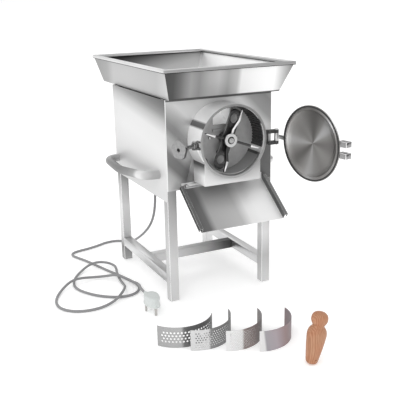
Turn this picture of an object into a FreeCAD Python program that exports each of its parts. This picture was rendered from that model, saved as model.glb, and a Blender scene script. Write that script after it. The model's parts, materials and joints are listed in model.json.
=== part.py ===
"""Top-fed crushing mill on a four-leg stand, with its loose screens and wooden pusher.

Millimetres. The origin is on the floor at the centre of the four feet, +X is the
operator's right, +Y points to the back of the machine and +Z is up.
The chamber door stands open and the swing bolt is swung clear, as the machine rests.
"""
import FreeCAD, Part
import math
import os

V = FreeCAD.Vector
X_AXIS = V(1, 0, 0)
Y_AXIS = V(0, 1, 0)
Z_AXIS = V(0, 0, 1)

# ---- driving dimensions: stand and cabinet -------------------------------------
STAND_WIDTH = 460.0
STAND_DEPTH = 570.0
TUBE = 38.0
TUBE_WALL = 1.6
RAIL_BOTTOM = 70.0
BODY_TOP = 810.0
SIDE_BOTTOM = 415.0
FRONT_BOTTOM = 459.0
SHEET = 1.2
FLOOR_SHEET = 3.0
FOOT_PLATE = 8.0
FOOT_HOLE_R = 4.25

# ---- hopper --------------------------------------------------------------------
HOPPER_BASE = (-220.0, 256.0, -304.0, 436.0)
HOPPER_RIM = (-251.0, 312.0, -337.0, 488.0)
HOPPER_SHEET = 1.5
RIM_WIDTH = 16.0
RIM_HEIGHT = 14.0
HOPPER_TOP = 926.0

# ---- chamber and rotor ---------------------------------------------------------
SHAFT_Z = 651.0
DRUM_R = 140.0
DRUM_INNER_R = 134.0
RING_R = 140.7
RING_INNER_R = 132.0
LINER_INNER_R = 128.0
RING_THICK = 10.0
DRUM_FRONT = -400.0
BACK_PLATE_FRONT = -312.0
BACK_PLATE = 6.0
SHAFT_R = 15.0
RUNNING_GAP = 0.05
BLADE_COUNT = 4
BLADE_PHASE = 71.0
BLADE_TIP_R = 122.0
BAR_ANGLE = 68.8
BAR_FRONT = -350.0
BAR_THICK = 12.0
SCREEN_R = 126.0
SCREEN_WIDTH = 77.5
SCREEN_SHEET = 1.5
SCREEN_SWEEP = 118.0
REST_INNER_R = 124.0
REST_SWEEP = 5.0

# ---- door and latch ------------------------------------------------------------
HINGE_X = 183.0
HINGE_Y = -404.0
DOOR_OPEN = 101.0
DOOR_R = 141.0
DOOR_FACE = -402.5
DOOR_SHEET = 4.0
PIN_R = 5.0
LATCH_X = -163.0
LATCH_Y = -393.0
LATCH_SWUNG = -65.0
LATCH_ROD_R = 7.0
KNOB_R = 36.0
WASHER_GAP = 0.2

# ---- discharge -----------------------------------------------------------------
THROAT_LEFT = -116.0
THROAT_RIGHT = 126.0
THROAT_FRONT = -380.0
THROAT_BOTTOM = 486.0
CHUTE_LEFT = -172.0
CHUTE_RIGHT = 186.0
CHUTE_TOP_Z = 461.0
CHUTE_TOP_Y = -291.0
CHUTE_LENGTH = 209.0
CHUTE_SLOPE = 37.0
CHUTE_SHEET = 1.5
CHUTE_WALL = 24.0

# ---- drive ---------------------------------------------------------------------
MOTOR_X = 95.0
MOTOR_Z = 552.0
MOTOR_R = 82.0
MOTOR_SHAFT_R = 14.0
HOUSING_R = 45.0
BEARING_R = 31.0
DRIVEN_PULLEY_R = 38.0
MOTOR_PULLEY_R = 62.0
PULLEY_FRONT = 150.0
PULLEY_WIDTH = 25.0
BELT_WIDTH = 10.0
BELT_THICK = 8.0

# ---- carry handles -------------------------------------------------------------
HANDLE_R = 17.0
HANDLE_WALL = 1.6
HANDLE_STANDOFF = 54.0
HANDLE_BACK = (258.0, 487.0)
HANDLE_FRONT = (-209.0, 512.0)
HANDLE_SAG = (96.0, 473.0)
HANDLE_RISE = (-70.0, 494.0)
HANDLE_BACK_BEND = 40.0
HANDLE_FRONT_BEND = 30.0
HANDLE_SAG_BEND = 400.0

# ---- mains cord ----------------------------------------------------------------
CORD_R = 5.5
GLAND_X = -130.0
GLAND_Y = 88.0
GLAND_LENGTH = 40.0
PLUG_X = -331.0
PLUG_BACK = -292.0
PLUG_LENGTH = 92.0
PLUG_WIDTH = 60.0
PLUG_BOTTOM = 33.0
PLUG_HEIGHT = 39.0
PLUG_NECK = 32.0
PIN_SPACING = 38.0
EARTH_OFFSET = 54.0
CORD_PLUG_Z = 52.0

LOW = CORD_R
OVER = 26.0
CORD_ROUTE = [
    # down from the gland under the cabinet floor, bowing towards the back
    (GLAND_X, GLAND_Y, FRONT_BOTTOM - GLAND_LENGTH),
    (-130, 88, 362),
    (-130, 93, 300),
    (-130, 113, 240),
    (-130, 160, 180),
    (-130, 226, 128),
    (-131, 300, 80),
    (-134, 376, 38),
    (-138, 430, 14),
    # round behind the back left leg, along the floor to the fold at its far left
    (-150, 476, LOW),
    (-185, 502, LOW),
    (-240, 500, LOW),
    (-292, 474, LOW),
    (-352, 456, LOW),
    (-398, 448, LOW),
    (-428, 434, LOW),
    (-438, 402, LOW),
    (-424, 364, LOW),
    (-402, 312, LOW),
    (-378, 236, LOW),
    (-352, 146, LOW),
    (-322, 62, LOW),
    (-297, -20, LOW),
    (-288, -76, LOW),
    (-302, -124, LOW),
    (-340, -156, LOW),
    (-392, -158, LOW),
    (-446, -126, LOW),
    (-494, -74, LOW),
    (-534, 8, LOW),
    (-529, 74, LOW),
    (-502, 136, LOW),
    (-460, 186, 9),
    (-412, 214, OVER - 4),
    (-366, 216, OVER),
    (-330, 190, OVER - 3),
    (-317, 142, OVER - 2),
    (-325, 98, OVER),
    (-337, 56, OVER - 4),
    (-341, 8, 9),
    (-342, -44, LOW),
    (-355, -98, OVER - 4),
    (-384, -150, OVER),
    (-428, -188, 12),
    (-490, -213, LOW),
    (-556, -216, LOW),
    (-612, -192, LOW),
    (-645, -144, LOW),
    (-648, -88, LOW),
    (-628, -28, LOW),
    (-588, 28, 12),
    (-540, 62, OVER),
    (-487, 84, OVER - 6),
    (-432, 92, 9),
    (-384, 72, 12),
    (-350, 34, OVER),
    (-328, -8, OVER - 2),
    (-311, -54, 20),
    (-303, -98, OVER),
    (-308, -140, 34),
    (-321, -180, 46),
    (PLUG_X, PLUG_BACK + PLUG_NECK + 40, CORD_PLUG_Z),
    (PLUG_X, PLUG_BACK + PLUG_NECK, CORD_PLUG_Z),
]

# ---- loose tools on the floor --------------------------------------------------
# centre of curvature and the angle at which each standing screen begins
SCREEN_SPOTS = {
    "screen_coarse": (-310.5, -529.0, 211.0),
    "screen_medium": (-260.5, -579.5, 235.5),
    "screen_fine": (-164.5, -636.0, 240.5),
    "screen_plain": (-73.5, -688.5, 245.0),
}
PUSHER_X = -13.5
PUSHER_Y = -947.0
PUSHER_HEIGHT = 184.0
PUSHER_LEAN = 8.5

# ---- worked-out places ---------------------------------------------------------
HALF_W = STAND_WIDTH / 2
HALF_D = STAND_DEPTH / 2
PANEL_FACE = -(HALF_D + SHEET)
RAIL_TOP = RAIL_BOTTOM + TUBE
BACK_PLATE_REAR = BACK_PLATE_FRONT + BACK_PLATE
FLOOR_TOP = FRONT_BOTTOM + FLOOR_SHEET
HUB_FRONT = -372.0
HUB_REAR = -332.0
HUB_R = 20.0
NUT_THREAD_R = 6.0

nodes = {}


# ---- shape helpers -------------------------------------------------------------
def box(x0, x1, y0, y1, z0, z1):
    return Part.makeBox(x1 - x0, y1 - y0, z1 - z0, V(x0, y0, z0))


def rod_y(radius, y0, y1, x=0.0, z=SHAFT_Z):
    return Part.makeCylinder(radius, y1 - y0, V(x, y0, z), Y_AXIS)


def rod_z(radius, z0, z1, x, y):
    return Part.makeCylinder(radius, z1 - z0, V(x, y, z0), Z_AXIS)


def prism(points, direction):
    """A solid from a closed outline of points, swept straight along direction."""
    outline = Part.makePolygon([V(*p) for p in points] + [V(*points[0])])
    return Part.Face(outline).extrude(direction)


def turned(profile, base, axis):
    """A solid of revolution. profile holds (radius, height along axis) pairs."""
    side = X_AXIS if abs(axis.x) < 0.5 else Z_AXIS
    points = [base + side * r + axis * h for r, h in profile]
    outline = Part.makePolygon(points + [points[0]])
    return Part.Face(outline).revolve(base, axis, 360)


def wedge_y(radius, angle0, angle1, y0, y1):
    """A pie slice about the rotor's axis, from angle0 to angle1 in degrees."""
    slice_ = Part.makeCylinder(radius, y1 - y0, V(0, 0, 0), Z_AXIS, angle1 - angle0)
    slice_.rotate(V(0, 0, 0), Z_AXIS, angle0)
    slice_.rotate(V(0, 0, 0), X_AXIS, 90)
    slice_.translate(V(0, y1, SHAFT_Z))
    return slice_


def on_circle(radius, angle, y):
    turn = math.radians(angle)
    return V(radius * math.cos(turn), y, SHAFT_Z + radius * math.sin(turn))


def hexagon(radius, base, axis, height):
    prism_ = Part.makeCylinder(radius, height, base, axis)
    side = X_AXIS if abs(axis.x) < 0.5 else Z_AXIS
    for k in range(6):
        flat = Part.makeBox(4 * radius, 4 * radius, 4 * height)
        flat.translate(V(radius * math.cos(math.pi / 6), -2 * radius, -2 * height))
        flat.rotate(V(0, 0, 0), Z_AXIS, 60 * k)
        flat.Placement = FreeCAD.Placement(base, FreeCAD.Rotation(Z_AXIS, axis)) * flat.Placement
        prism_ = prism_.cut(flat)
    return prism_


def square_tube(length):
    """A hollow square tube along +Z, standing on the origin's corner."""
    outer = Part.makeBox(TUBE, TUBE, length)
    inside = TUBE - 2 * TUBE_WALL
    return outer.cut(Part.makeBox(inside, inside, length, V(TUBE_WALL, TUBE_WALL, 0)))


def door_pose(shape):
    """Turns a shape modelled with the door shut to the open rest pose."""
    shape.rotate(V(HINGE_X, HINGE_Y, 0), Z_AXIS, DOOR_OPEN)
    return shape


def latch_pose(shape):
    """Turns a shape modelled with the bolt over the door to the swung-clear rest pose."""
    shape.rotate(V(LATCH_X, LATCH_Y, 0), Z_AXIS, LATCH_SWUNG)
    return shape


# ---- stand and cabinet ---------------------------------------------------------
def build_stand():
    plates = []
    for name, x, y in (
        ("leg_front_left", -HALF_W, -HALF_D),
        ("leg_front_right", HALF_W - TUBE, -HALF_D),
        ("leg_back_left", -HALF_W, HALF_D - TUBE),
        ("leg_back_right", HALF_W - TUBE, HALF_D - TUBE),
    ):
        leg = square_tube(BODY_TOP)
        leg.translate(V(x, y, 0))
        nodes[name] = leg
        inner = TUBE - TUBE_WALL
        plate = box(x + TUBE_WALL, x + inner, y + TUBE_WALL, y + inner, 0, FOOT_PLATE)
        plates.append(plate.cut(rod_z(FOOT_HOLE_R, 0, FOOT_PLATE, x + TUBE / 2, y + TUBE / 2)))
    nodes["foot_plates"] = Part.makeCompound(plates)
    rail_length = STAND_DEPTH - 2 * TUBE
    for name, x in (("rail_left", -HALF_W), ("rail_right", HALF_W - TUBE)):
        rail = square_tube(rail_length)
        rail.rotate(V(0, 0, 0), X_AXIS, -90)
        rail.translate(V(x, -rail_length / 2, RAIL_TOP))
        nodes[name] = rail
    cross = square_tube(STAND_WIDTH - 2 * TUBE)
    cross.rotate(V(0, 0, 0), Y_AXIS, 90)
    cross.translate(V(-HALF_W + TUBE, -TUBE / 2, RAIL_TOP))
    nodes["rail_cross"] = cross


def build_panels():
    edge = HALF_D + SHEET
    nodes["side_panel_left"] = box(-HALF_W - SHEET, -HALF_W, -edge, edge, SIDE_BOTTOM, BODY_TOP)
    nodes["side_panel_right"] = box(HALF_W, HALF_W + SHEET, -edge, edge, SIDE_BOTTOM, BODY_TOP)
    front = box(-HALF_W, HALF_W, -edge, -HALF_D, FRONT_BOTTOM, BODY_TOP)
    nodes["front_panel"] = front.cut(rod_y(130, -edge, -HALF_D))
    back = box(-HALF_W, HALF_W, HALF_D, edge, SIDE_BOTTOM, BODY_TOP)
    for row in range(7):
        for x in (-150, 30):
            back = back.cut(box(x, x + 120, HALF_D, edge, 540 + 24 * row, 546 + 24 * row))
    nodes["back_panel"] = back
    floor = box(-HALF_W, HALF_W, -HALF_D, HALF_D, FRONT_BOTTOM, FLOOR_TOP)
    for x in (-HALF_W, HALF_W - TUBE):
        for y in (-HALF_D, HALF_D - TUBE):
            floor = floor.cut(box(x, x + TUBE, y, y + TUBE, FRONT_BOTTOM, FLOOR_TOP))
    nodes["cabinet_floor"] = floor.cut(rod_z(8, FRONT_BOTTOM, FLOOR_TOP, GLAND_X, GLAND_Y))


def rectangle(bounds, z, inset=0.0):
    x0, x1, y0, y1 = bounds
    corners = [
        V(x0 + inset, y0 + inset, z),
        V(x1 - inset, y0 + inset, z),
        V(x1 - inset, y1 - inset, z),
        V(x0 + inset, y1 - inset, z),
    ]
    return Part.makePolygon(corners + [corners[0]])


def build_hopper():
    rim_bottom = HOPPER_TOP - RIM_HEIGHT
    lip = 7.0
    outer = Part.makeLoft(
        [rectangle(HOPPER_BASE, BODY_TOP), rectangle(HOPPER_RIM, rim_bottom, lip)], True
    )
    inner = Part.makeLoft(
        [
            rectangle(HOPPER_BASE, BODY_TOP + HOPPER_SHEET, HOPPER_SHEET),
            rectangle(HOPPER_RIM, rim_bottom, lip + HOPPER_SHEET),
        ],
        True,
    )
    tray = outer.cut(inner)
    nodes["hopper_tray"] = tray.cut(box(-44.5, 32.5, -282.5, -185.5, BODY_TOP, BODY_TOP + 5))
    rim = Part.Face(rectangle(HOPPER_RIM, rim_bottom)).extrude(V(0, 0, RIM_HEIGHT))
    hole = Part.Face(rectangle(HOPPER_RIM, rim_bottom, RIM_WIDTH)).extrude(V(0, 0, RIM_HEIGHT))
    nodes["hopper_rim"] = rim.cut(hole)
    outside = [(-46, y, z) for y, z in (
        (BACK_PLATE_REAR, 702), (BACK_PLATE_REAR, 766), (-284, 766), (-284, BODY_TOP),
        (-184, BODY_TOP), (-184, 770), (-284, 702),
    )]
    inside = [(-44.5, y, z) for y, z in (
        (BACK_PLATE_REAR, 703.5), (BACK_PLATE_REAR, 764.5), (-282.5, 764.5),
        (-282.5, BODY_TOP), (-185.5, BODY_TOP), (-185.5, 771), (-284.5, 703.5),
    )]
    duct = prism(outside, V(80, 0, 0)).cut(prism(inside, V(77, 0, 0)))
    nodes["feed_duct"] = duct


# ---- chamber -------------------------------------------------------------------
def build_chamber():
    ring_rear = DRUM_FRONT + RING_THICK
    shell = rod_y(DRUM_R, ring_rear, PANEL_FACE).cut(rod_y(DRUM_INNER_R, ring_rear, PANEL_FACE))
    ring = rod_y(RING_R, DRUM_FRONT, ring_rear).cut(rod_y(RING_INNER_R, DRUM_FRONT, ring_rear))
    drum = shell.fuse(ring).removeSplitter()
    mouth = wedge_y(DRUM_R + 5, 220, 320, THROAT_FRONT + 4, BACK_PLATE_FRONT)
    nodes["chamber_drum"] = drum.cut(mouth)

    back = rod_y(DRUM_INNER_R, BACK_PLATE_FRONT, BACK_PLATE_REAR)
    window = box(-44, 32, BACK_PLATE_FRONT, BACK_PLATE_REAR, 704, 764)
    back = back.cut(window).cut(rod_y(22, BACK_PLATE_FRONT, BACK_PLATE_REAR))
    for angle in (175, 245, 295, -5):
        spot = on_circle(58, angle, 0)
        back = back.cut(rod_y(4.2, BACK_PLATE_FRONT, BACK_PLATE_REAR, spot.x, spot.z))
    window_ledge = box(-48, 36, BACK_PLATE_FRONT - 8, BACK_PLATE_FRONT, 680, 688)
    nodes["chamber_back"] = back.fuse(window_ledge).removeSplitter()

    liners = []
    for start, end in ((-16, 100), (132, 196)):
        segment = wedge_y(DRUM_INNER_R, start, end, ring_rear, BACK_PLATE_FRONT)
        segment = segment.cut(rod_y(LINER_INNER_R, ring_rear, BACK_PLATE_FRONT))
        for k in range(int((end - start) / 5) - 1):
            middle = start + 5 + 5 * k
            groove = wedge_y(DRUM_INNER_R - 3, middle - 1.2, middle + 1.2, ring_rear, BACK_PLATE_FRONT)
            segment = segment.cut(groove)
        liners.append(segment)
    nodes["grinding_liners"] = Part.makeCompound(liners)

    # each rest stops one end of the fitted screen and carries it on a ledge behind its outer face
    screen_start = 270 - SCREEN_SWEEP / 2
    screen_end = 270 + SCREEN_SWEEP / 2
    rests = []
    for block_start, ledge_start in (
        (screen_start - REST_SWEEP, screen_start),
        (screen_end, screen_end - REST_SWEEP),
    ):
        block = wedge_y(DRUM_INNER_R, block_start, block_start + REST_SWEEP, ring_rear, BACK_PLATE_FRONT)
        block = block.cut(rod_y(REST_INNER_R, ring_rear, BACK_PLATE_FRONT))
        ledge = wedge_y(DRUM_INNER_R, ledge_start, ledge_start + REST_SWEEP, ring_rear, BACK_PLATE_FRONT)
        ledge = ledge.cut(rod_y(SCREEN_R + RUNNING_GAP, ring_rear, BACK_PLATE_FRONT))
        rests.append(block.fuse(ledge).removeSplitter())
    nodes["screen_rests"] = Part.makeCompound(rests)

    play = (BACK_PLATE_FRONT - ring_rear - SCREEN_WIDTH) / 2
    screen_front = ring_rear + play
    screen_back = BACK_PLATE_FRONT - play
    fitted = wedge_y(SCREEN_R, screen_start + 0.1, screen_end - 0.1, screen_front, screen_back)
    nodes["screen_fitted"] = fitted.cut(rod_y(SCREEN_R - SCREEN_SHEET, screen_front, screen_back))

    wall = 2.0
    outer = box(THROAT_LEFT, THROAT_RIGHT, THROAT_FRONT, PANEL_FACE, THROAT_BOTTOM, SHAFT_Z)
    inner = box(
        THROAT_LEFT + wall, THROAT_RIGHT - wall, THROAT_FRONT + wall, PANEL_FACE, THROAT_BOTTOM, SHAFT_Z
    )
    nodes["discharge_throat"] = outer.cut(inner).cut(rod_y(DRUM_R, THROAT_FRONT, PANEL_FACE))


def build_chute():
    """A sloping tray with folded-over side walls, hung from an upright flange."""
    half_lip = 12.0
    fold_drop = 16.0
    span = CHUTE_RIGHT - CHUTE_LEFT
    tray = box(0, span, -CHUTE_LENGTH, 0, 0, CHUTE_SHEET)
    for x, sign in ((0, -1), (span, 1)):
        wall_x = sorted((x, x - sign * CHUTE_SHEET))
        lip_x = sorted((x - sign * CHUTE_SHEET, x + sign * half_lip))
        drop_x = sorted((x + sign * half_lip, x + sign * (half_lip - CHUTE_SHEET)))
        top = CHUTE_WALL
        tray = tray.fuse(box(*wall_x, -CHUTE_LENGTH, 0, 0, top))
        tray = tray.fuse(box(*lip_x, -CHUTE_LENGTH, 0, top - CHUTE_SHEET, top))
        tray = tray.fuse(box(*drop_x, -CHUTE_LENGTH, 0, top - fold_drop, top))
    tray.rotate(V(0, 0, 0), X_AXIS, CHUTE_SLOPE)
    tray.translate(V(CHUTE_LEFT, CHUTE_TOP_Y, CHUTE_TOP_Z))
    # trim what would reach behind the flange's front face
    tray = tray.cut(box(-HALF_W, HALF_W, PANEL_FACE - 1.5, 0, 400, 520))
    flange = box(CHUTE_LEFT, CHUTE_RIGHT, PANEL_FACE - 1.5, PANEL_FACE, FRONT_BOTTOM, 485)
    link = box(
        CHUTE_LEFT, CHUTE_RIGHT, CHUTE_TOP_Y - 1, PANEL_FACE - 1.5, CHUTE_TOP_Z - 1.2, CHUTE_TOP_Z + 0.6
    )
    nodes["discharge_chute"] = tray.fuse(link).fuse(flange).removeSplitter()


def bolt(base, axis, shank):
    """A hexagon bolt: head on base, standing out along axis, shank the other way."""
    head = hexagon(7.5, base, axis, 6)
    return head.fuse(Part.makeCylinder(4, shank, base - axis * shank, axis)).removeSplitter()


def build_bolts():
    bolts = []
    for x in (-150, -78, 92, 164):
        face = PANEL_FACE - 1.5
        bolts.append(bolt(V(x, face, 473), -Y_AXIS, 8))
        nodes["discharge_chute"] = nodes["discharge_chute"].cut(rod_y(4.2, face, PANEL_FACE, x, 473))
        nodes["front_panel"] = nodes["front_panel"].cut(rod_y(4.2, PANEL_FACE, -HALF_D, x, 473))
    for angle in (175, 245, 295, -5):
        bolts.append(bolt(on_circle(58, angle, BACK_PLATE_FRONT), -Y_AXIS, 14))
    nodes["machine_bolts"] = Part.makeCompound(bolts)


# ---- door ----------------------------------------------------------------------
def build_door():
    centre = V(1, DOOR_FACE, SHAFT_Z)
    outward = -Y_AXIS
    dish = turned(
        [
            (0, 15), (60, 14), (104, 11), (118, 8.5), (124, 3), (126, 0), (DOOR_R, 0),
            (DOOR_R, DOOR_SHEET), (128, DOOR_SHEET), (121, 12), (105, 15), (60, 18), (0, 19),
        ],
        centre,
        outward,
    )
    nodes["door_lid"] = door_pose(dish)
    gasket = turned([(133, 0), (139, 0), (139, -2), (133, -2)], centre, outward)
    nodes["door_gasket"] = door_pose(gasket)

    outer_face = DOOR_FACE - DOOR_SHEET
    plate = box(131, HINGE_X - 6, outer_face - 6, outer_face, SHAFT_Z - 8, SHAFT_Z + 8)
    barrel = rod_z(9, SHAFT_Z - 15, SHAFT_Z + 15, HINGE_X, HINGE_Y)
    arm = plate.fuse(barrel).removeSplitter()
    arm = arm.cut(rod_z(PIN_R + RUNNING_GAP, SHAFT_Z - 15, SHAFT_Z + 15, HINGE_X, HINGE_Y))
    arm = arm.cut(Part.makeCylinder(DOOR_R + 0.01, DOOR_SHEET, centre, outward))
    nodes["door_arm"] = door_pose(arm)

    lugs = []
    for low, high in ((10, 31), (-31, -10)):
        front = box(-170, -131, outer_face - 24, outer_face, SHAFT_Z + low, SHAFT_Z + high)
        side = box(-170, -141.5, outer_face, DOOR_FACE, SHAFT_Z + low, SHAFT_Z + high)
        lugs.append(door_pose(front.fuse(side).removeSplitter()))
    nodes["door_lugs"] = Part.makeCompound(lugs)


def build_hinge():
    top = SHAFT_Z + 16
    bottom = SHAFT_Z - 16
    block = box(136, 151, DRUM_FRONT + 2, DRUM_FRONT + 14, bottom - 12, top + 12)
    for low, high in ((top, top + 12), (bottom - 12, bottom)):
        ear = rod_z(9, low, high, HINGE_X, HINGE_Y)
        arm = box(146, HINGE_X, HINGE_Y - 7, DRUM_FRONT + 12, low, high)
        block = block.fuse(arm).fuse(ear)
    block = block.removeSplitter().cut(rod_y(RING_R, DRUM_FRONT - 20, PANEL_FACE))
    block = block.cut(rod_z(PIN_R, bottom - 20, top + 20, HINGE_X, HINGE_Y))
    nodes["hinge_bracket"] = block
    pin = rod_z(PIN_R, bottom - 14, top + 12, HINGE_X, HINGE_Y)
    return pin.fuse(rod_z(8, top + 12, top + 15, HINGE_X, HINGE_Y)).removeSplitter()


# ---- swing bolt ----------------------------------------------------------------
def build_latch():
    gap = 9.0
    thick = 6.0
    fork = None
    for low, high in ((gap, gap + thick), (-gap - thick, -gap)):
        ear = rod_z(9, SHAFT_Z + low, SHAFT_Z + high, LATCH_X, LATCH_Y)
        arm = box(LATCH_X, -128, LATCH_Y - 7, LATCH_Y + 9, SHAFT_Z + low, SHAFT_Z + high)
        piece = ear.fuse(arm)
        fork = piece if fork is None else fork.fuse(piece)
    base = box(-145, -128, LATCH_Y + 9, LATCH_Y + 17, SHAFT_Z - 15, SHAFT_Z + 15)
    gusset = prism(
        [(-156, LATCH_Y - 5, SHAFT_Z - 15), (-128, LATCH_Y - 5, SHAFT_Z - 15),
         (-122, LATCH_Y - 5, SHAFT_Z - 64), (-128, LATCH_Y - 5, SHAFT_Z - 64)],
        V(0, 8, 0),
    )
    fork = fork.fuse(base).fuse(gusset).removeSplitter()
    fork = fork.cut(rod_y(RING_R, DRUM_FRONT - 20, PANEL_FACE))
    fork = fork.cut(rod_z(PIN_R, SHAFT_Z - 30, SHAFT_Z + 30, LATCH_X, LATCH_Y))
    nodes["latch_fork"] = fork
    pin = rod_z(PIN_R, SHAFT_Z - gap - thick, SHAFT_Z + gap + thick, LATCH_X, LATCH_Y)
    cap = rod_z(7.5, SHAFT_Z + gap + thick, SHAFT_Z + gap + thick + 3, LATCH_X, LATCH_Y)
    latch_pin = pin.fuse(cap).removeSplitter()

    eye = rod_z(11, SHAFT_Z - 8, SHAFT_Z + 8, LATCH_X, LATCH_Y)
    stem = rod_y(LATCH_ROD_R, LATCH_Y - 84, LATCH_Y - 4, LATCH_X)
    swing = eye.fuse(stem).removeSplitter()
    swing = swing.cut(rod_z(PIN_R + RUNNING_GAP, SHAFT_Z - 8, SHAFT_Z + 8, LATCH_X, LATCH_Y))
    nodes["latch_bolt"] = latch_pose(swing)

    bore = LATCH_ROD_R + RUNNING_GAP
    washer_y = LATCH_Y - 62
    washer = rod_y(14, washer_y, washer_y + 3, LATCH_X).cut(rod_y(bore, washer_y, washer_y + 3, LATCH_X))
    nodes["latch_washer"] = latch_pose(washer)

    disc_front = LATCH_Y - 90
    disc_rear = disc_front + 14
    knob = rod_y(KNOB_R - 8, disc_front, disc_rear, LATCH_X)
    for k in range(5):
        turn = math.radians(90 + 72 * k)
        reach = KNOB_R - 12
        lobe_x = LATCH_X + reach * math.cos(turn)
        knob = knob.fuse(rod_y(12, disc_front, disc_rear, lobe_x, SHAFT_Z + reach * math.sin(turn)))
    boss_rear = washer_y - WASHER_GAP
    knob = knob.fuse(rod_y(13, disc_rear, boss_rear, LATCH_X)).removeSplitter()
    knob = knob.cut(rod_y(bore, disc_front, boss_rear, LATCH_X))
    nodes["latch_knob"] = latch_pose(knob)
    return latch_pin


# ---- rotor ---------------------------------------------------------------------
def build_blade(angle):
    """One flat bar cranked forward towards the door, with a tapering tip."""
    outline = [
        (HUB_R - 1, 0, -4.5), (80, 0, -5), (BLADE_TIP_R, 0, -2),
        (BLADE_TIP_R, 0, 2), (80, 0, 5), (HUB_R - 1, 0, 4.5),
    ]
    flat = prism(outline, V(0, -70, 0))
    flat.translate(V(0, HUB_REAR, 0))
    crank = prism(
        [(HUB_R - 2, HUB_FRONT + 2, -30), (42, HUB_FRONT + 2, -30), (80, -395, -30), (118, -395, -30),
         (BLADE_TIP_R, -392, -30), (BLADE_TIP_R, -386, -30), (86, -386, -30), (48, -356, -30),
         (HUB_R - 2, BAR_FRONT - 2, -30)],
        V(0, 0, 60),
    )
    blade = flat.common(crank)
    blade = blade.cut(Part.makeCylinder(HUB_R, 100, V(0, -420, 0), Y_AXIS))
    blade.rotate(V(0, 0, 0), Y_AXIS, -angle)
    blade.translate(V(0, 0, SHAFT_Z))
    return blade


def build_rotor():
    shaft = rod_y(SHAFT_R, HUB_FRONT, 190).fuse(rod_y(NUT_THREAD_R, HUB_FRONT - 13, HUB_FRONT))
    nodes["rotor_shaft"] = shaft.removeSplitter()
    nodes["rotor_hub"] = rod_y(HUB_R, HUB_FRONT, HUB_REAR).cut(rod_y(SHAFT_R, HUB_FRONT, HUB_REAR))
    bar_rear = BAR_FRONT + BAR_THICK
    half_bar = 23.0
    bar = box(-96, 96, BAR_FRONT, bar_rear, -half_bar, half_bar)
    bar.translate(V(0, 0, SHAFT_Z))
    for side in (-1, 1):
        bar = bar.fuse(rod_y(half_bar, BAR_FRONT, bar_rear, 96 * side))
    bar = bar.fuse(rod_y(30, BAR_FRONT, bar_rear)).removeSplitter()
    for side in (-1, 1):
        bar = bar.cut(rod_y(17.5, BAR_FRONT, bar_rear, 82 * side))
    bar = bar.cut(rod_y(HUB_R, BAR_FRONT, bar_rear))
    bar.rotate(V(0, 0, SHAFT_Z), Y_AXIS, -BAR_ANGLE)
    nodes["rotor_bar"] = bar
    for k in range(BLADE_COUNT):
        nodes[f"blade_{k + 1}"] = build_blade(BLADE_PHASE + 360 / BLADE_COUNT * k)
    # the clamp washer is a shallow cup: the nut sits inside its raised ring
    cup_floor = HUB_FRONT - 2
    cup_face = HUB_FRONT - 5
    washer = rod_y(25.5, cup_face, HUB_FRONT).cut(rod_y(14.5, cup_face, cup_floor))
    nodes["hub_washer"] = washer.cut(rod_y(NUT_THREAD_R, cup_floor, HUB_FRONT))
    nut = hexagon(11, V(0, cup_floor, SHAFT_Z), -Y_AXIS, 8)
    nodes["hub_nut"] = nut.cut(rod_y(NUT_THREAD_R, cup_floor - 8, cup_floor))


def pulley(radius, bore, x, z):
    rear = PULLEY_FRONT + PULLEY_WIDTH
    wheel = rod_y(radius, PULLEY_FRONT, rear, x, z)
    side = (PULLEY_WIDTH - BELT_WIDTH) / 2 - 1
    groove = rod_y(radius + 1, PULLEY_FRONT + side, rear - side, x, z)
    groove = groove.cut(rod_y(radius - BELT_THICK, PULLEY_FRONT + side, rear - side, x, z))
    return wheel.cut(groove).cut(rod_y(bore, PULLEY_FRONT, rear, x, z))


def band(radius_a, radius_b, y0, y1):
    """The solid inside a taut band round two circles: a on the rotor, b on the motor."""
    dx, dz = MOTOR_X, MOTOR_Z - SHAFT_Z
    reach = math.hypot(dx, dz)
    heading = math.atan2(dz, dx)
    lean = math.acos((radius_a - radius_b) / reach)

    def point(centre, radius, angle):
        return V(centre[0] + radius * math.cos(angle), y0, centre[1] + radius * math.sin(angle))

    a, b = (0.0, SHAFT_Z), (MOTOR_X, MOTOR_Z)
    up, down = heading + lean, heading - lean
    edges = [
        Part.LineSegment(point(a, radius_a, up), point(b, radius_b, up)).toShape(),
        Part.Arc(point(b, radius_b, up), point(b, radius_b, heading), point(b, radius_b, down)).toShape(),
        Part.LineSegment(point(b, radius_b, down), point(a, radius_a, down)).toShape(),
        Part.Arc(
            point(a, radius_a, down), point(a, radius_a, heading + math.pi), point(a, radius_a, up)
        ).toShape(),
    ]
    return Part.Face(Part.Wire(edges)).extrude(V(0, y1 - y0, 0))


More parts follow.
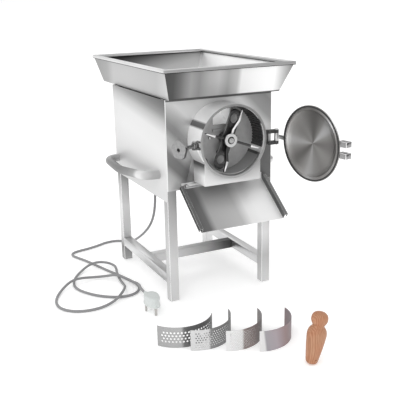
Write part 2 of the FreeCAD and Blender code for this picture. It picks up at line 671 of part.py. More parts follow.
def build_drive():
    flange = rod_y(68, BACK_PLATE_REAR, BACK_PLATE_REAR + 10)
    flange = flange.cut(box(-80, 80, BACK_PLATE_REAR, BACK_PLATE_REAR + 10, 698, 740))
    for angle in (175, 245, 295, -5):
        spot = on_circle(58, angle, 0)
        flange = flange.cut(rod_y(4.2, BACK_PLATE_REAR, BACK_PLATE_REAR + 10, spot.x, spot.z))
    housing = rod_y(HOUSING_R, BACK_PLATE_REAR, 100).fuse(flange).removeSplitter()
    nodes["bearing_housing"] = housing.cut(rod_y(BEARING_R, BACK_PLATE_REAR, 100))
    rings = []
    for y in (-290, 80):
        rings.append(rod_y(BEARING_R, y, y + 16).cut(rod_y(SHAFT_R + RUNNING_GAP, y, y + 16)))
    nodes["shaft_bearings"] = Part.makeCompound(rings)
    nodes["driven_pulley"] = pulley(DRIVEN_PULLEY_R, SHAFT_R, 0, SHAFT_Z)
    wheel = pulley(MOTOR_PULLEY_R, MOTOR_SHAFT_R, MOTOR_X, MOTOR_Z)
    spindle = rod_y(MOTOR_SHAFT_R, 62, PULLEY_FRONT + PULLEY_WIDTH + 4, MOTOR_X, MOTOR_Z)
    nodes["motor_pulley"] = Part.makeCompound([wheel, spindle])
    play = 0.1
    front = PULLEY_FRONT + (PULLEY_WIDTH - BELT_WIDTH) / 2
    inner_a = DRIVEN_PULLEY_R - BELT_THICK + play
    inner_b = MOTOR_PULLEY_R - BELT_THICK + play
    loop = band(inner_a + BELT_THICK - 1, inner_b + BELT_THICK - 1, front, front + BELT_WIDTH)
    nodes["drive_belt"] = loop.cut(band(inner_a, inner_b, front, front + BELT_WIDTH))

    body = rod_y(MOTOR_R, -150, 120, MOTOR_X, MOTOR_Z)
    for x in (-1, 1):
        foot_x = sorted((MOTOR_X + 30 * x, MOTOR_X + 76 * x))
        for y in (-110, 60):
            body = body.fuse(box(*foot_x, y, y + 30, FLOOR_TOP, MOTOR_Z - 40))
    body = body.removeSplitter().cut(rod_y(MOTOR_SHAFT_R + RUNNING_GAP, 60, 120, MOTOR_X, MOTOR_Z))
    nodes["motor"] = body


# ---- bent tubes ----------------------------------------------------------------
def rounded_route(points, radii=None):
    """Straight runs joined by tangent arcs, as large as their runs allow or as given."""
    edges = []
    start = points[0]
    for k in range(1, len(points) - 1):
        before, corner, after = points[k - 1], points[k], points[k + 1]
        inward = (before - corner).normalize()
        onward = (after - corner).normalize()
        turn = math.pi - inward.getAngle(onward)
        cut_back = 0.45 * min((before - corner).Length, (after - corner).Length)
        radius = cut_back / math.tan(turn / 2)
        if radii:
            radius = radii[k - 1]
            cut_back = radius * math.tan(turn / 2)
        first = corner + inward * cut_back
        last = corner + onward * cut_back
        bisector = (inward + onward).normalize()
        middle = corner + bisector * (math.hypot(radius, cut_back) - radius)
        edges.append(Part.LineSegment(start, first).toShape())
        edges.append(Part.Arc(first, middle, last).toShape())
        print(f"point {k}: turn {math.degrees(turn):.0f} deg, radius {radius:.0f} mm")
        start = last
    edges.append(Part.LineSegment(start, points[-1]).toShape())
    return Part.Wire(edges)


def swept_tube(wire, start, heading, radius):
    profile = Part.Wire(Part.Circle(start, heading, radius).toShape())
    return wire.makePipeShell([profile], True, False)


def build_handles():
    """A bent tube on each side panel: it sags behind its middle and rises to its front."""
    for name, side in (("handle_left", -1), ("handle_right", 1)):
        panel = side * (HALF_W + SHEET)
        bar = panel + side * HANDLE_STANDOFF
        points = [V(panel, *HANDLE_BACK), V(bar, *HANDLE_BACK)]
        points += [V(bar, *HANDLE_SAG), V(bar, *HANDLE_RISE)]
        points += [V(bar, *HANDLE_FRONT), V(panel, *HANDLE_FRONT)]
        radii = [HANDLE_BACK_BEND, HANDLE_SAG_BEND, HANDLE_SAG_BEND, HANDLE_FRONT_BEND]
        wire = rounded_route(points, radii)
        outer = swept_tube(wire, points[0], V(side, 0, 0), HANDLE_R)
        nodes[name] = outer.cut(swept_tube(wire, points[0], V(side, 0, 0), HANDLE_R - HANDLE_WALL))


# ---- mains cord ----------------------------------------------------------------
def build_cord():
    gland_bottom = FRONT_BOTTOM - GLAND_LENGTH
    cone = Part.makeCone(7.5, 10, GLAND_LENGTH - 12, V(GLAND_X, GLAND_Y, gland_bottom), Z_AXIS)
    nut = hexagon(14, V(GLAND_X, GLAND_Y, FRONT_BOTTOM - 12), Z_AXIS, 12)
    thread = rod_z(8, FRONT_BOTTOM, FLOOR_TOP + 4, GLAND_X, GLAND_Y)
    nodes["cord_gland"] = cone.fuse(nut).fuse(thread).removeSplitter()

    points = [V(*p) for p in CORD_ROUTE]
    wire = rounded_route(points)
    tube = swept_tube(wire, points[0], points[1] - points[0], CORD_R)
    print(f"cord length {wire.Length:.0f} mm")
    print(f"volume over section times length {tube.Volume / (math.pi * CORD_R ** 2 * wire.Length):.4f}")
    nodes["mains_cord"] = tube

    half = PLUG_WIDTH / 2
    corners = [
        (-13, 0), (13, 0), (half - 5, -10), (half, -26), (half - 2, -52), (half - 10, -PLUG_LENGTH + 8),
        (half - 22, -PLUG_LENGTH), (-half + 22, -PLUG_LENGTH), (-half + 10, -PLUG_LENGTH + 8),
        (-half + 2, -52), (-half, -26), (-half + 5, -10),
    ]
    body = prism([(PLUG_X + x, PLUG_BACK + y, PLUG_BOTTOM) for x, y in corners], V(0, 0, PLUG_HEIGHT))
    neck = Part.makeCone(11, 7.5, PLUG_NECK, V(PLUG_X, PLUG_BACK, CORD_PLUG_Z), Y_AXIS)
    nodes["plug_body"] = body.fuse(neck).removeSplitter()
    line_y = PLUG_BACK - 24
    pins = [rod_z(5.5, 0, PLUG_BOTTOM, PLUG_X, line_y - EARTH_OFFSET)]
    for side in (-1, 1):
        pins.append(rod_z(4.7, 0, PLUG_BOTTOM, PLUG_X + side * PIN_SPACING / 2, line_y))
    nodes["plug_pins"] = Part.makeCompound(pins)


# ---- loose tools ---------------------------------------------------------------
def build_screens():
    for name, (x, y, start) in SCREEN_SPOTS.items():
        outer = Part.makeCylinder(SCREEN_R, SCREEN_WIDTH, V(0, 0, 0), Z_AXIS, SCREEN_SWEEP)
        inner = Part.makeCylinder(SCREEN_R - SCREEN_SHEET, SCREEN_WIDTH, V(0, 0, 0), Z_AXIS)
        screen = outer.cut(inner)
        screen.rotate(V(0, 0, 0), Z_AXIS, start)
        screen.translate(V(x, y, 0))
        nodes[name] = screen


def build_pusher():
    profile = [
        (0, 0), (13, 0), (18, 3), (21, 10), (24, 30), (28, 58), (31, 84), (32.6, 104),
        (31, 118), (25.5, 128), (20, 134), (20, 139), (24.5, 146), (27.5, 155), (28, 162),
        (26, 172), (19.5, 180), (10, 183.6), (0, PUSHER_HEIGHT),
    ]
    base = V(PUSHER_X, PUSHER_Y, 0)
    hole = Part.makeCylinder(3, 90, V(PUSHER_X, PUSHER_Y - 45, 19), Y_AXIS)
    pusher = turned(profile, base, Z_AXIS).cut(hole)
    pusher.rotate(base, V(0.435, 0.9, 0), PUSHER_LEAN)
    pusher.translate(V(0, 0, -pusher.BoundBox.ZMin))
    nodes["pusher"] = pusher


def export_all():
    os.makedirs("parts", exist_ok=True)
    for name, shape in nodes.items():
        if not shape.isValid():
            print("invalid shape:", name)
        shape.exportStep(f"parts/{name}.step")
    print(len(nodes), "nodes")


build_stand()
build_panels()
build_hopper()
build_chamber()
build_chute()
build_bolts()
build_door()
nodes["pivot_pins"] = Part.makeCompound([build_hinge(), build_latch()])
build_rotor()
build_drive()
build_handles()
build_cord()
build_screens()
build_pusher()
export_all()
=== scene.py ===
"""Looks of the crushing mill: materials, rounded edges, perforated screens, cord, light and camera.

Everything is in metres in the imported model's frame: +X the operator's right, +Y the back, +Z up.
"""

import json
import math

import bmesh
import bpy
from mathutils import Matrix, Vector


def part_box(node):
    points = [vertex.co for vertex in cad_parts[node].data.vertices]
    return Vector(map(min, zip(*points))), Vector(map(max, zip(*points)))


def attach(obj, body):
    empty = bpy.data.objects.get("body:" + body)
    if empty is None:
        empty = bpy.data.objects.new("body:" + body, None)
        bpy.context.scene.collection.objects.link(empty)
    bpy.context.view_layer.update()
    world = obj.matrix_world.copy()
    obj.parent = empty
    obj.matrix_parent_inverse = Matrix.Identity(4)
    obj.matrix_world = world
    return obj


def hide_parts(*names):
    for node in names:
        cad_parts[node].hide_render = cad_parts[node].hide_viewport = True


MM = 0.001

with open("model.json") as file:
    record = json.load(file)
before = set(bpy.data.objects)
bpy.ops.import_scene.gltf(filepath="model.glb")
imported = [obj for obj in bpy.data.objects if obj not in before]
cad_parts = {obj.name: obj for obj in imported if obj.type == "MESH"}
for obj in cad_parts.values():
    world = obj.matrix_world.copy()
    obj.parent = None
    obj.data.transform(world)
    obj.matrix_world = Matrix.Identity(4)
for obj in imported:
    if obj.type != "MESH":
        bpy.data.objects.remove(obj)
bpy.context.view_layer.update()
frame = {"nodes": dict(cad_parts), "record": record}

# ---- camera --------------------------------------------------------------------
CAMERA_PLACE = Vector((-1.2385, -2.6567, 1.1869))
CAMERA_YAW = 25.8
CAMERA_PITCH = 16.5
CAMERA_ROLL = -1.2
LENS = 62.84

# ---- mains cord, the same route as the model's ----------------------------------
CORD_R = 5.5
GLAND_X = -130.0
GLAND_Y = 88.0
GLAND_BOTTOM = 419.0
LOW = CORD_R
OVER = 26.0
PLUG_X = -331.0
PLUG_BACK = -292.0
PLUG_LENGTH = 92.0
PLUG_WIDTH = 60.0
PLUG_BOTTOM = 33.0
PLUG_HEIGHT = 39.0
PLUG_NECK = 32.0
PIN_SPACING = 38.0
PIN_LINE = 24.0
EARTH_OFFSET = 54.0
OUTLINE_STEPS = 48
CORD_PLUG_Z = 52.0
CORD_ROUTE = [
    (GLAND_X, GLAND_Y, GLAND_BOTTOM),
    (-130, 88, 362),
    (-130, 93, 300),
    (-130, 113, 240),
    (-130, 160, 180),
    (-130, 226, 128),
    (-131, 300, 80),
    (-134, 376, 38),
    (-138, 430, 14),
    (-150, 476, LOW),
    (-185, 502, LOW),
    (-240, 500, LOW),
    (-292, 474, LOW),
    (-352, 456, LOW),
    (-398, 448, LOW),
    (-428, 434, LOW),
    (-438, 402, LOW),
    (-424, 364, LOW),
    (-402, 312, LOW),
    (-378, 236, LOW),
    (-352, 146, LOW),
    (-322, 62, LOW),
    (-297, -20, LOW),
    (-288, -76, LOW),
    (-302, -124, LOW),
    (-340, -156, LOW),
    (-392, -158, LOW),
    (-446, -126, LOW),
    (-494, -74, LOW),
    (-534, 8, LOW),
    (-529, 74, LOW),
    (-502, 136, LOW),
    (-460, 186, 9),
    (-412, 214, OVER - 4),
    (-366, 216, OVER),
    (-330, 190, OVER - 3),
    (-317, 142, OVER - 2),
    (-325, 98, OVER),
    (-337, 56, OVER - 4),
    (-341, 8, 9),
    (-342, -44, LOW),
    (-355, -98, OVER - 4),
    (-384, -150, OVER),
    (-428, -188, 12),
    (-490, -213, LOW),
    (-556, -216, LOW),
    (-612, -192, LOW),
    (-645, -144, LOW),
    (-648, -88, LOW),
    (-628, -28, LOW),
    (-588, 28, 12),
    (-540, 62, OVER),
    (-487, 84, OVER - 6),
    (-432, 92, 9),
    (-384, 72, 12),
    (-350, 34, OVER),
    (-328, -8, OVER - 2),
    (-311, -54, 20),
    (-303, -98, OVER),
    (-308, -140, 34),
    (-321, -180, 46),
    (PLUG_X, PLUG_BACK + PLUG_NECK + 40, CORD_PLUG_Z),
    (PLUG_X, PLUG_BACK + PLUG_NECK, CORD_PLUG_Z),
]

# ---- screens and pusher ---------------------------------------------------------
SCREEN_R = 126.0
SCREEN_SHEET = 1.5
SCREEN_WIDTH = 77.5
SCREEN_SWEEP = 118.0
HOLE_SIDES = 8
# centre of curvature, starting angle, hole, pitch and the plain border above and below the holes
SCREENS = {
    "screen_coarse": (-310.5, -529.0, 211.0, 7.8, 13.0, 12.0),
    "screen_medium": (-260.5, -579.5, 235.5, 5.4, 9.6, 9.0),
    "screen_fine": (-164.5, -636.0, 240.5, 3.2, 6.0, 7.0),
}
PUSHER_X = -13.5
PUSHER_Y = -947.0
PUSHER_HEIGHT = 184.0
PUSHER_LEAN = 8.5

# ---- door and knob --------------------------------------------------------------
SHAFT_Z = 651.0
HINGE = (183.0, -404.0)
DOOR_OPEN = 101.0
DOOR_FACE = -402.5
LATCH = (-163.0, -393.0)
LATCH_SWUNG = -65.0
KNOB_R = 36.0


# ---- node-tree helpers ----------------------------------------------------------
def new_material(name):
    material = bpy.data.materials.new(name)
    material.use_nodes = True
    tree = material.node_tree
    return material, tree, tree.nodes["Principled BSDF"]


def add(tree, kind, **settings):
    node = tree.nodes.new(kind)
    for key, value in settings.items():
        if hasattr(node, key):
            setattr(node, key, value)
        else:
            node.inputs[key].default_value = value
    return node


def coordinates(tree, scale):
    place = add(tree, "ShaderNodeTexCoord")
    mapping = add(tree, "ShaderNodeMapping")
    mapping.inputs["Scale"].default_value = scale
    tree.links.new(place.outputs["Object"], mapping.inputs["Vector"])
    return mapping.outputs["Vector"]


def noise(tree, scale, detail, stretch=(1, 1, 1), roughness=0.5):
    texture = add(tree, "ShaderNodeTexNoise", Scale=scale, Detail=detail, Roughness=roughness)
    tree.links.new(coordinates(tree, stretch), texture.inputs["Vector"])
    return texture.outputs["Fac"]


def ramp(tree, value, stops):
    node = add(tree, "ShaderNodeValToRGB")
    elements = node.color_ramp.elements
    for element, (place, colour) in zip(elements, (stops[0], stops[-1])):
        element.position = place
        element.color = (*colour, 1)
    for place, colour in stops[1:-1]:
        elements.new(max(0.0, min(1.0, place))).color = (*colour, 1)
    tree.links.new(value, node.inputs["Fac"])
    return node.outputs["Color"]


def span(tree, value, low, high):
    node = add(tree, "ShaderNodeMapRange")
    node.inputs["To Min"].default_value = low
    node.inputs["To Max"].default_value = high
    tree.links.new(value, node.inputs["Value"])
    return node.outputs["Result"]


def bump(tree, shader, height, distance, strength):
    node = add(tree, "ShaderNodeBump")
    node.inputs["Strength"].default_value = strength
    node.inputs["Distance"].default_value = distance
    tree.links.new(height, node.inputs["Height"])
    tree.links.new(node.outputs["Normal"], shader.inputs["Normal"])


def grey(level, warmth=0.0):
    return (level * (1 + warmth), level, level * (1 - warmth))


# ---- materials ------------------------------------------------------------------
def steel(name, dark, light, smooth, rough, grain=(1, 1, 40), warmth=0.0):
    """Stainless sheet: brushed grain along one direction over a soft, cloudy polish."""
    material, tree, shader = new_material(name)
    shader.inputs["Metallic"].default_value = 1.0
    cloud = noise(tree, 3.2, 2.0)
    colour = ramp(tree, cloud, [(0.3, grey(dark, warmth)), (0.7, grey(light, warmth))])
    tree.links.new(colour, shader.inputs["Base Color"])
    fine = noise(tree, 60.0, 4.0, grain)
    tree.links.new(span(tree, fine, smooth, rough), shader.inputs["Roughness"])
    bump(tree, shader, cloud, 0.0001, 0.35)
    return material


def cast(name, dark, light, rough, size=90.0, warmth=0.0, metallic=0.8):
    """Cast or coarsely ground metal with pits and uneven tone."""
    material, tree, shader = new_material(name)
    shader.inputs["Metallic"].default_value = metallic
    pits = noise(tree, size, 5.0, roughness=0.65)
    colour = ramp(tree, pits, [(0.35, grey(dark, warmth)), (0.62, grey(light, warmth))])
    tree.links.new(colour, shader.inputs["Base Color"])
    tree.links.new(span(tree, pits, rough - 0.12, rough + 0.12), shader.inputs["Roughness"])
    bump(tree, shader, pits, 0.0007, 0.5)
    return material


def spun_steel(name, centre, axis_turn):
    """A dished lid turned on a lathe: fine rings in its bump, and fan-shaped painted glints, light and dark
    wedges of painted reflection in its colour round its centre.
    """
    material, tree, shader = new_material(name)
    shader.inputs["Metallic"].default_value = 1.0
    place = add(tree, "ShaderNodeTexCoord")
    mapping = add(tree, "ShaderNodeMapping", vector_type="TEXTURE")
    mapping.inputs["Location"].default_value = centre
    mapping.inputs["Rotation"].default_value = (0, 0, axis_turn)
    tree.links.new(place.outputs["Object"], mapping.inputs["Vector"])
    split = add(tree, "ShaderNodeSeparateXYZ")
    tree.links.new(mapping.outputs["Vector"], split.inputs["Vector"])
    angle = add(tree, "ShaderNodeMath", operation="ARCTAN2")
    tree.links.new(split.outputs["Z"], angle.inputs[0])
    tree.links.new(split.outputs["X"], angle.inputs[1])
    waves = []
    for count, phase in ((3.0, 0.6), (5.0, 2.1)):
        turns = add(tree, "ShaderNodeMath", operation="MULTIPLY_ADD")
        turns.inputs[1].default_value = count
        turns.inputs[2].default_value = phase
        fan = add(tree, "ShaderNodeMath", operation="SINE")
        tree.links.new(angle.outputs[0], turns.inputs[0])
        tree.links.new(turns.outputs[0], fan.inputs[0])
        waves.append(fan.outputs[0])
    both = add(tree, "ShaderNodeMath", operation="ADD")
    tree.links.new(waves[0], both.inputs[0])
    tree.links.new(waves[1], both.inputs[1])
    spread = add(tree, "ShaderNodeMapRange")
    spread.inputs["From Min"].default_value = -2.0
    spread.inputs["From Max"].default_value = 2.0
    tree.links.new(both.outputs[0], spread.inputs["Value"])
    # painted reflection: the wedges' tones, from painted shade to a painted glint
    colour = ramp(tree, spread.outputs["Result"], [
        (0.0, grey(0.22, 0.03)), (0.4, grey(0.34, 0.03)), (0.7, grey(0.44, 0.02)), (1.0, grey(0.7))])
    tree.links.new(colour, shader.inputs["Base Color"])
    reach = add(tree, "ShaderNodeVectorMath", operation="LENGTH")
    tree.links.new(mapping.outputs["Vector"], reach.inputs[0])
    rings = add(tree, "ShaderNodeMath", operation="SINE")
    pitch = add(tree, "ShaderNodeMath", operation="MULTIPLY")
    pitch.inputs[1].default_value = 4200.0
    tree.links.new(reach.outputs["Value"], pitch.inputs[0])
    tree.links.new(pitch.outputs[0], rings.inputs[0])
    bump(tree, shader, rings.outputs[0], 0.0002, 0.25)
    shader.inputs["Roughness"].default_value = 0.3
    return material


def plastic(name, colour, rough, size=400.0):
    """Moulded plastic or rubber with a faint speckle and an orange-peel surface."""
    material, tree, shader = new_material(name)
    speck = noise(tree, size, 3.0)
    low = tuple(c * 0.92 for c in colour)
    high = tuple(min(1.0, c * 1.06) for c in colour)
    tree.links.new(ramp(tree, speck, [(0.35, low), (0.65, high)]), shader.inputs["Base Color"])
    tree.links.new(span(tree, speck, rough - 0.05, rough + 0.08), shader.inputs["Roughness"])
    bump(tree, shader, speck, 0.0002, 0.35)
    return material


def wood(name):
    """Oiled hardwood: long grain up the turned form, darker streaks and small pores."""
    material, tree, shader = new_material(name)
    rings = add(tree, "ShaderNodeTexWave", wave_type="BANDS", bands_direction="X", Scale=60.0)
    rings.inputs["Distortion"].default_value = 7.0
    rings.inputs["Detail"].default_value = 3.0
    rings.inputs["Detail Scale"].default_value = 1.4
    tree.links.new(coordinates(tree, (1, 1, 0.16)), rings.inputs["Vector"])
    grain = ramp(
        tree,
        rings.outputs["Fac"],
        [(0.0, (0.36, 0.165, 0.083)), (0.5, (0.42, 0.205, 0.11)), (1.0, (0.47, 0.25, 0.145))],
    )
    blush = ramp(tree, noise(tree, 14.0, 2.0), [(0.35, (1.0, 0.82, 0.74)), (0.65, (1.0, 1.0, 1.0))])
    mix = add(tree, "ShaderNodeMix", data_type="RGBA", blend_type="MULTIPLY")
    mix.inputs["Factor"].default_value = 1.0
    tree.links.new(grain, mix.inputs[6])
    tree.links.new(blush, mix.inputs[7])
    tree.links.new(mix.outputs[2], shader.inputs["Base Color"])
    pores = noise(tree, 260.0, 3.0, (1, 1, 0.12))
    tree.links.new(span(tree, pores, 0.42, 0.62), shader.inputs["Roughness"])
    bump(tree, shader, pores, 0.0005, 0.4)
    return material


def distance_along(tree, direction, low, high):
    """How far a point lies between two places along one direction, both in millimetres."""
    place = add(tree, "ShaderNodeTexCoord")
    along = add(tree, "ShaderNodeVectorMath", operation="DOT_PRODUCT")
    along.inputs[1].default_value = direction
    tree.links.new(place.outputs["Object"], along.inputs[0])
    reach = add(tree, "ShaderNodeMapRange")
    reach.inputs["From Min"].default_value = low * MM
    reach.inputs["From Max"].default_value = high * MM
    tree.links.new(along.outputs["Value"], reach.inputs["Value"])
    return reach.outputs["Result"]


def spread_stops(stops):
    """Ramp stops from (place in mm, tone) pairs, where a tone is a grey level or a colour."""
    low, high = stops[0][0], stops[-1][0]
    spread = []
    for at, tone in stops:
        colour = tone if isinstance(tone, tuple) else grey(tone)
        spread.append(((at - low) / (high - low), colour))
    return spread


def banded(name, direction, stops, smooth=0.44, rough=0.56, metallic=0.5):
    """Satin sheet with painted reflections and painted shade: its colour changes in broad soft bands along
    one direction, in millimetres.
    """
    material, tree, shader = new_material(name)
    shader.inputs["Metallic"].default_value = metallic
    reach = distance_along(tree, direction, stops[0][0], stops[-1][0])
    tree.links.new(ramp(tree, reach, spread_stops(stops)), shader.inputs["Base Color"])
    fine = noise(tree, 55.0, 4.0, (1, 1, 30))
    tree.links.new(span(tree, fine, smooth, rough), shader.inputs["Roughness"])
    return material


def streak(material, tone, *limits):
    """Lays one tone of painted shade or a painted highlight over a material; each limit is a direction and
    where it rises and falls, in mm.
    """
    tree = material.node_tree
    target = tree.nodes["Principled BSDF"].inputs["Base Color"]
    below = target.links[0].from_socket
    share = None
    for direction, (start, full, fade, end) in limits:
        reach = distance_along(tree, direction, start, end)
        part = ramp(tree, reach, spread_stops([(start, 0.0), (full, 1.0), (fade, 1.0), (end, 0.0)]))
        if share is None:
            share = part
            continue
        both = add(tree, "ShaderNodeMath", operation="MULTIPLY")
        tree.links.new(share, both.inputs[0])
        tree.links.new(part, both.inputs[1])
        share = both.outputs[0]
    mix = add(tree, "ShaderNodeMix", data_type="RGBA")
    tree.links.new(share, mix.inputs["Factor"])
    tree.links.new(below, mix.inputs[6])
    mix.inputs[7].default_value = (*grey(tone), 1)
    tree.links.new(mix.outputs[2], target)


# one finish for each material slot of the record
MATERIALS = {
    "polished_steel": steel("polished_sheet", 0.62, 0.76, 0.28, 0.4),
    "satin_steel": steel("satin_steel", 0.5, 0.64, 0.3, 0.42, (1, 40, 1)),
    "cast_steel": cast("cast_dark", 0.05, 0.1, 0.45),
    "blade_steel": steel("blade_steel", 0.7, 0.86, 0.22, 0.34, (30, 1, 1)),
    "knob_cast": cast("knob_cast", 0.26, 0.34, 0.42, 120.0, metallic=0.5),
    "dark_rubber": plastic("dark_rubber", (0.03, 0.03, 0.03), 0.6),
    "cord_pvc": plastic("cord_pvc", (0.25, 0.25, 0.255), 0.42, 500.0),
    "plug_plastic": plastic("plug_plastic", (0.62, 0.65, 0.64), 0.38),
    "plug_brass": steel("plug_pin_metal", 0.4, 0.55, 0.25, 0.4, (1, 1, 30), 0.03),
    "pusher_wood": wood("pusher_wood"),
    "motor_paint": cast("motor_paint", 0.09, 0.13, 0.5, 220.0, warmth=-0.1, metallic=0.0),
    "screen_steel": steel("screen_plate", 0.3, 0.4, 0.38, 0.5, (1, 1, 30)),
}
# near-white finish for bevels: a painted highlight along the edges
BRIGHT_EDGE = steel("painted_edge_highlight", 0.9, 0.98, 0.12, 0.2)
# near-black finish laid on faces as painted shade, where shade falls
PAINTED_SHADE = cast("painted_shade_black", 0.03, 0.06, 0.5)

# Looks of single nodes. The bands are painted reflections and painted shade on the sheet metal, standing for
# the broad studio reflections and the shade under and beside parts: tones along a direction of the object,
# each with its place in millimetres.
NODE_LOOKS = {
    "side_panel_left": banded("left_panel", (0, -0.12, 1), [
        (300, 0.6), (480, 0.66), (640, 0.76), (710, 0.74), (755, 0.52), (785, 0.3), (810, 0.2), (840, 0.14)]),
    "front_panel": banded("front_sheet", (1, 0, 1), [
        (240, 0.56), (310, 0.4), (345, 0.18), (390, 0.2), (425, 0.46), (450, 0.46), (485, 0.26), (510, 0.28),
        (560, 0.5), (600, 0.7), (680, 0.58), (880, 0.66), (930, 0.34), (1000, 0.28), (1060, 0.5)]),
    "chamber_drum": banded("drum_sheet", (0, 0, 1), [
        (500, 0.4), (560, 0.6), (650, 1.0), (704, 1.0), (711, 0.12), (726, 0.14), (733, 0.86), (772, 0.86),
        (788, 0.56), (800, 0.5)]),
    "discharge_throat": banded("throat_sheet", (0.45, 0, 1), [
        (430, 0.8), (500, 0.74), (560, 0.6), (600, 0.42), (660, 0.34)]),
    "discharge_chute": banded("tray_sheet", (1, 0, 0), [
        (-172, 0.14), (-130, 0.17), (-104, 0.46), (10, 0.58), (50, 0.92), (90, 1.0), (186, 1.0)]),
    "rail_cross": banded("cross_tube", (1, 0, 0), [
        (-200, 0.7), (-60, 0.6), (60, 0.36), (150, 0.1), (200, 0.04)]),
    "leg_front_right": banded("right_leg_tube", (0, 0, 1), [
        (0, 0.62), (120, 0.46), (220, 0.7), (360, 0.5), (480, 0.22)]),
    "leg_front_left": banded("left_leg_tube", (0, 0, 1), [
        (0, 0.6), (160, 0.66), (300, 0.54), (400, 0.44), (480, 0.34)]),
    "leg_back_left": banded("back_leg_tube", (0, 0, 1), [
        (0, 0.4), (60, 0.22), (110, 0.64), (260, 0.74), (360, 0.5), (430, 0.2), (480, 0.22)]),
    "handle_left": banded("left_handle_tube", (0, 1, 0), [
        (-220, 0.44), (-185, 0.72), (-140, 0.72), (-105, 0.34), (-40, 0.24), (60, 0.2), (200, 0.26),
        (270, 0.5)]),
    "chamber_back": cast("back_plate", 0.42, 0.5, 0.5, 30.0, metallic=0.4),
    # painted shade: the screen rests near-black where shade falls
    "screen_rests": cast("rest_painted_shade", 0.08, 0.12, 0.5, 60.0),
    "screen_fitted": banded("fitted_screen_sheet", (1, 0, 0), [
        (-130, 0.3), (0, 0.42), (80, 0.3), (130, 0.16)]),
    "rotor_bar": cast("rotor_bar_steel", 0.06, 0.11, 0.4, 60.0),
    "rotor_hub": cast("hub_steel", 0.06, 0.1, 0.4, 60.0),
    "hub_washer": steel("washer_steel", 0.82, 0.92, 0.4, 0.5),
    "hub_nut": steel("nut_steel", 0.5, 0.66, 0.35, 0.45),
    # painted light: blade_1, and the front faces of the other tips, a lighter copy of the blade steel
    "blade_1": steel("blade_painted_light", 0.8, 0.92, 0.36, 0.46, (30, 1, 1)),
    "latch_fork": cast("fork_steel", 0.08, 0.2, 0.3, 60.0, metallic=0.7),
    "latch_bolt": steel("swing_bolt_steel", 0.14, 0.24, 0.2, 0.32),
    # painted light: the duct's inside near-white and matt, standing for the light that falls into it
    "feed_duct": banded(
        "duct_sheet", (0, 0, 1), [(600, 0.98), (900, 1.0)], smooth=0.5, rough=0.6, metallic=0.0),
    "door_lugs": steel("lug_steel", 0.12, 0.34, 0.2, 0.3, (1, 1, 6)),
    # the plain screen: a light band of painted reflection on its left, then darker painted shade; its
    # brownish tones are heat tint
    "screen_plain": banded("plain_screen_sheet", (0.9, -0.435, 0.12), [
        (225, 0.7), (256, 0.7), (263, (0.34, 0.33, 0.35)), (300, (0.4, 0.36, 0.39)), (335, (0.3, 0.22, 0.22)),
        (360, (0.22, 0.18, 0.19))]),
}
# painted light on the front sheet: painted shade from the drum right of the throat, a painted shadow line
# under the hopper, and a painted highlight along the left corner
streak(NODE_LOOKS["front_panel"], 0.12, ((1, 0, 0), (114, 122, 300, 301)), ((0, 0, 1), (400, 401, 590, 680)))
streak(NODE_LOOKS["front_panel"], 0.14, ((0, 0, 1), (802, 803.5, 808, 812)))
streak(NODE_LOOKS["front_panel"], 1.0, ((1, 0, 0), (-233, -232, -228, -226)))
SLOT_OF = {part["node"]: part["material_slot"] for part in frame["record"]["subparts"]}


# ---- mesh helpers ---------------------------------------------------------------
def link_piece(name, mesh, material, body, nodes):
    """Adds a mesh to the scene, riding on a body and standing in for CAD nodes, if it has any."""
    piece = bpy.data.objects.new(name, mesh)
    bpy.context.scene.collection.objects.link(piece)
    piece.data.materials.append(material)
    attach(piece, body)
    if nodes:
        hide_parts(*nodes)
    return piece


def mesh_from(bm, name, smooth_angle=35.0):
    bmesh.ops.recalc_face_normals(bm, faces=bm.faces)
    mesh = bpy.data.meshes.new(name)
    bm.to_mesh(mesh)
    bm.free()
    for face in mesh.polygons:
        face.use_smooth = True
    mesh.set_sharp_from_angle(angle=math.radians(smooth_angle))
    return mesh


def door_matrix():
    pivot = Matrix.Translation((HINGE[0] * MM, HINGE[1] * MM, 0))
    return pivot @ Matrix.Rotation(math.radians(DOOR_OPEN), 4, "Z") @ pivot.inverted()


def latch_matrix():
    pivot = Matrix.Translation((LATCH[0] * MM, LATCH[1] * MM, 0))
    return pivot @ Matrix.Rotation(math.radians(LATCH_SWUNG), 4, "Z") @ pivot.inverted()


def lathe(profile, steps):
    """A turned form about Z from (radius, height) pairs in millimetres."""
    bm = bmesh.new()
    rows = []
    for radius, height in profile:
        if radius < 0.01:
            rows.append([bm.verts.new((0, 0, height * MM))])
            continue
        row = []
        for k in range(steps):
            turn = 2 * math.pi * k / steps
            x, y = radius * MM * math.cos(turn), radius * MM * math.sin(turn)
            row.append(bm.verts.new((x, y, height * MM)))
        rows.append(row)
    for low, high in zip(rows, rows[1:]):
        for k in range(steps):
            after = k + 1
            corners = [
                low[k % len(low)], low[after % len(low)], high[after % len(high)], high[k % len(high)],
            ]
            unique = list(dict.fromkeys(corners))
            if len(unique) > 2:
                bm.faces.new(unique)
    return bm


def between(a, b, c, d, t):
    """Catmull-Rom value a share t of the way from b to c, with a and d as their neighbours."""
    square = (2 * a - 5 * b + 4 * c - d) * t * t
    cube = (3 * b - a - 3 * c + d) * t ** 3
    return 0.5 * (2 * b + (c - a) * t + square + cube)


def soft_curve(points, steps=6):
    """A smooth curve through (radius, height) pairs, for turned profiles."""
    line = []
    for k in range(len(points) - 1):
        p0 = points[max(k - 1, 0)]
        p1, p2 = points[k], points[k + 1]
        p3 = points[min(k + 2, len(points) - 1)]
        for s in range(steps):
            line.append(tuple(between(a, b, c, d, s / steps) for a, b, c, d in zip(p0, p1, p2, p3)))
    line.append(points[-1])
    return line


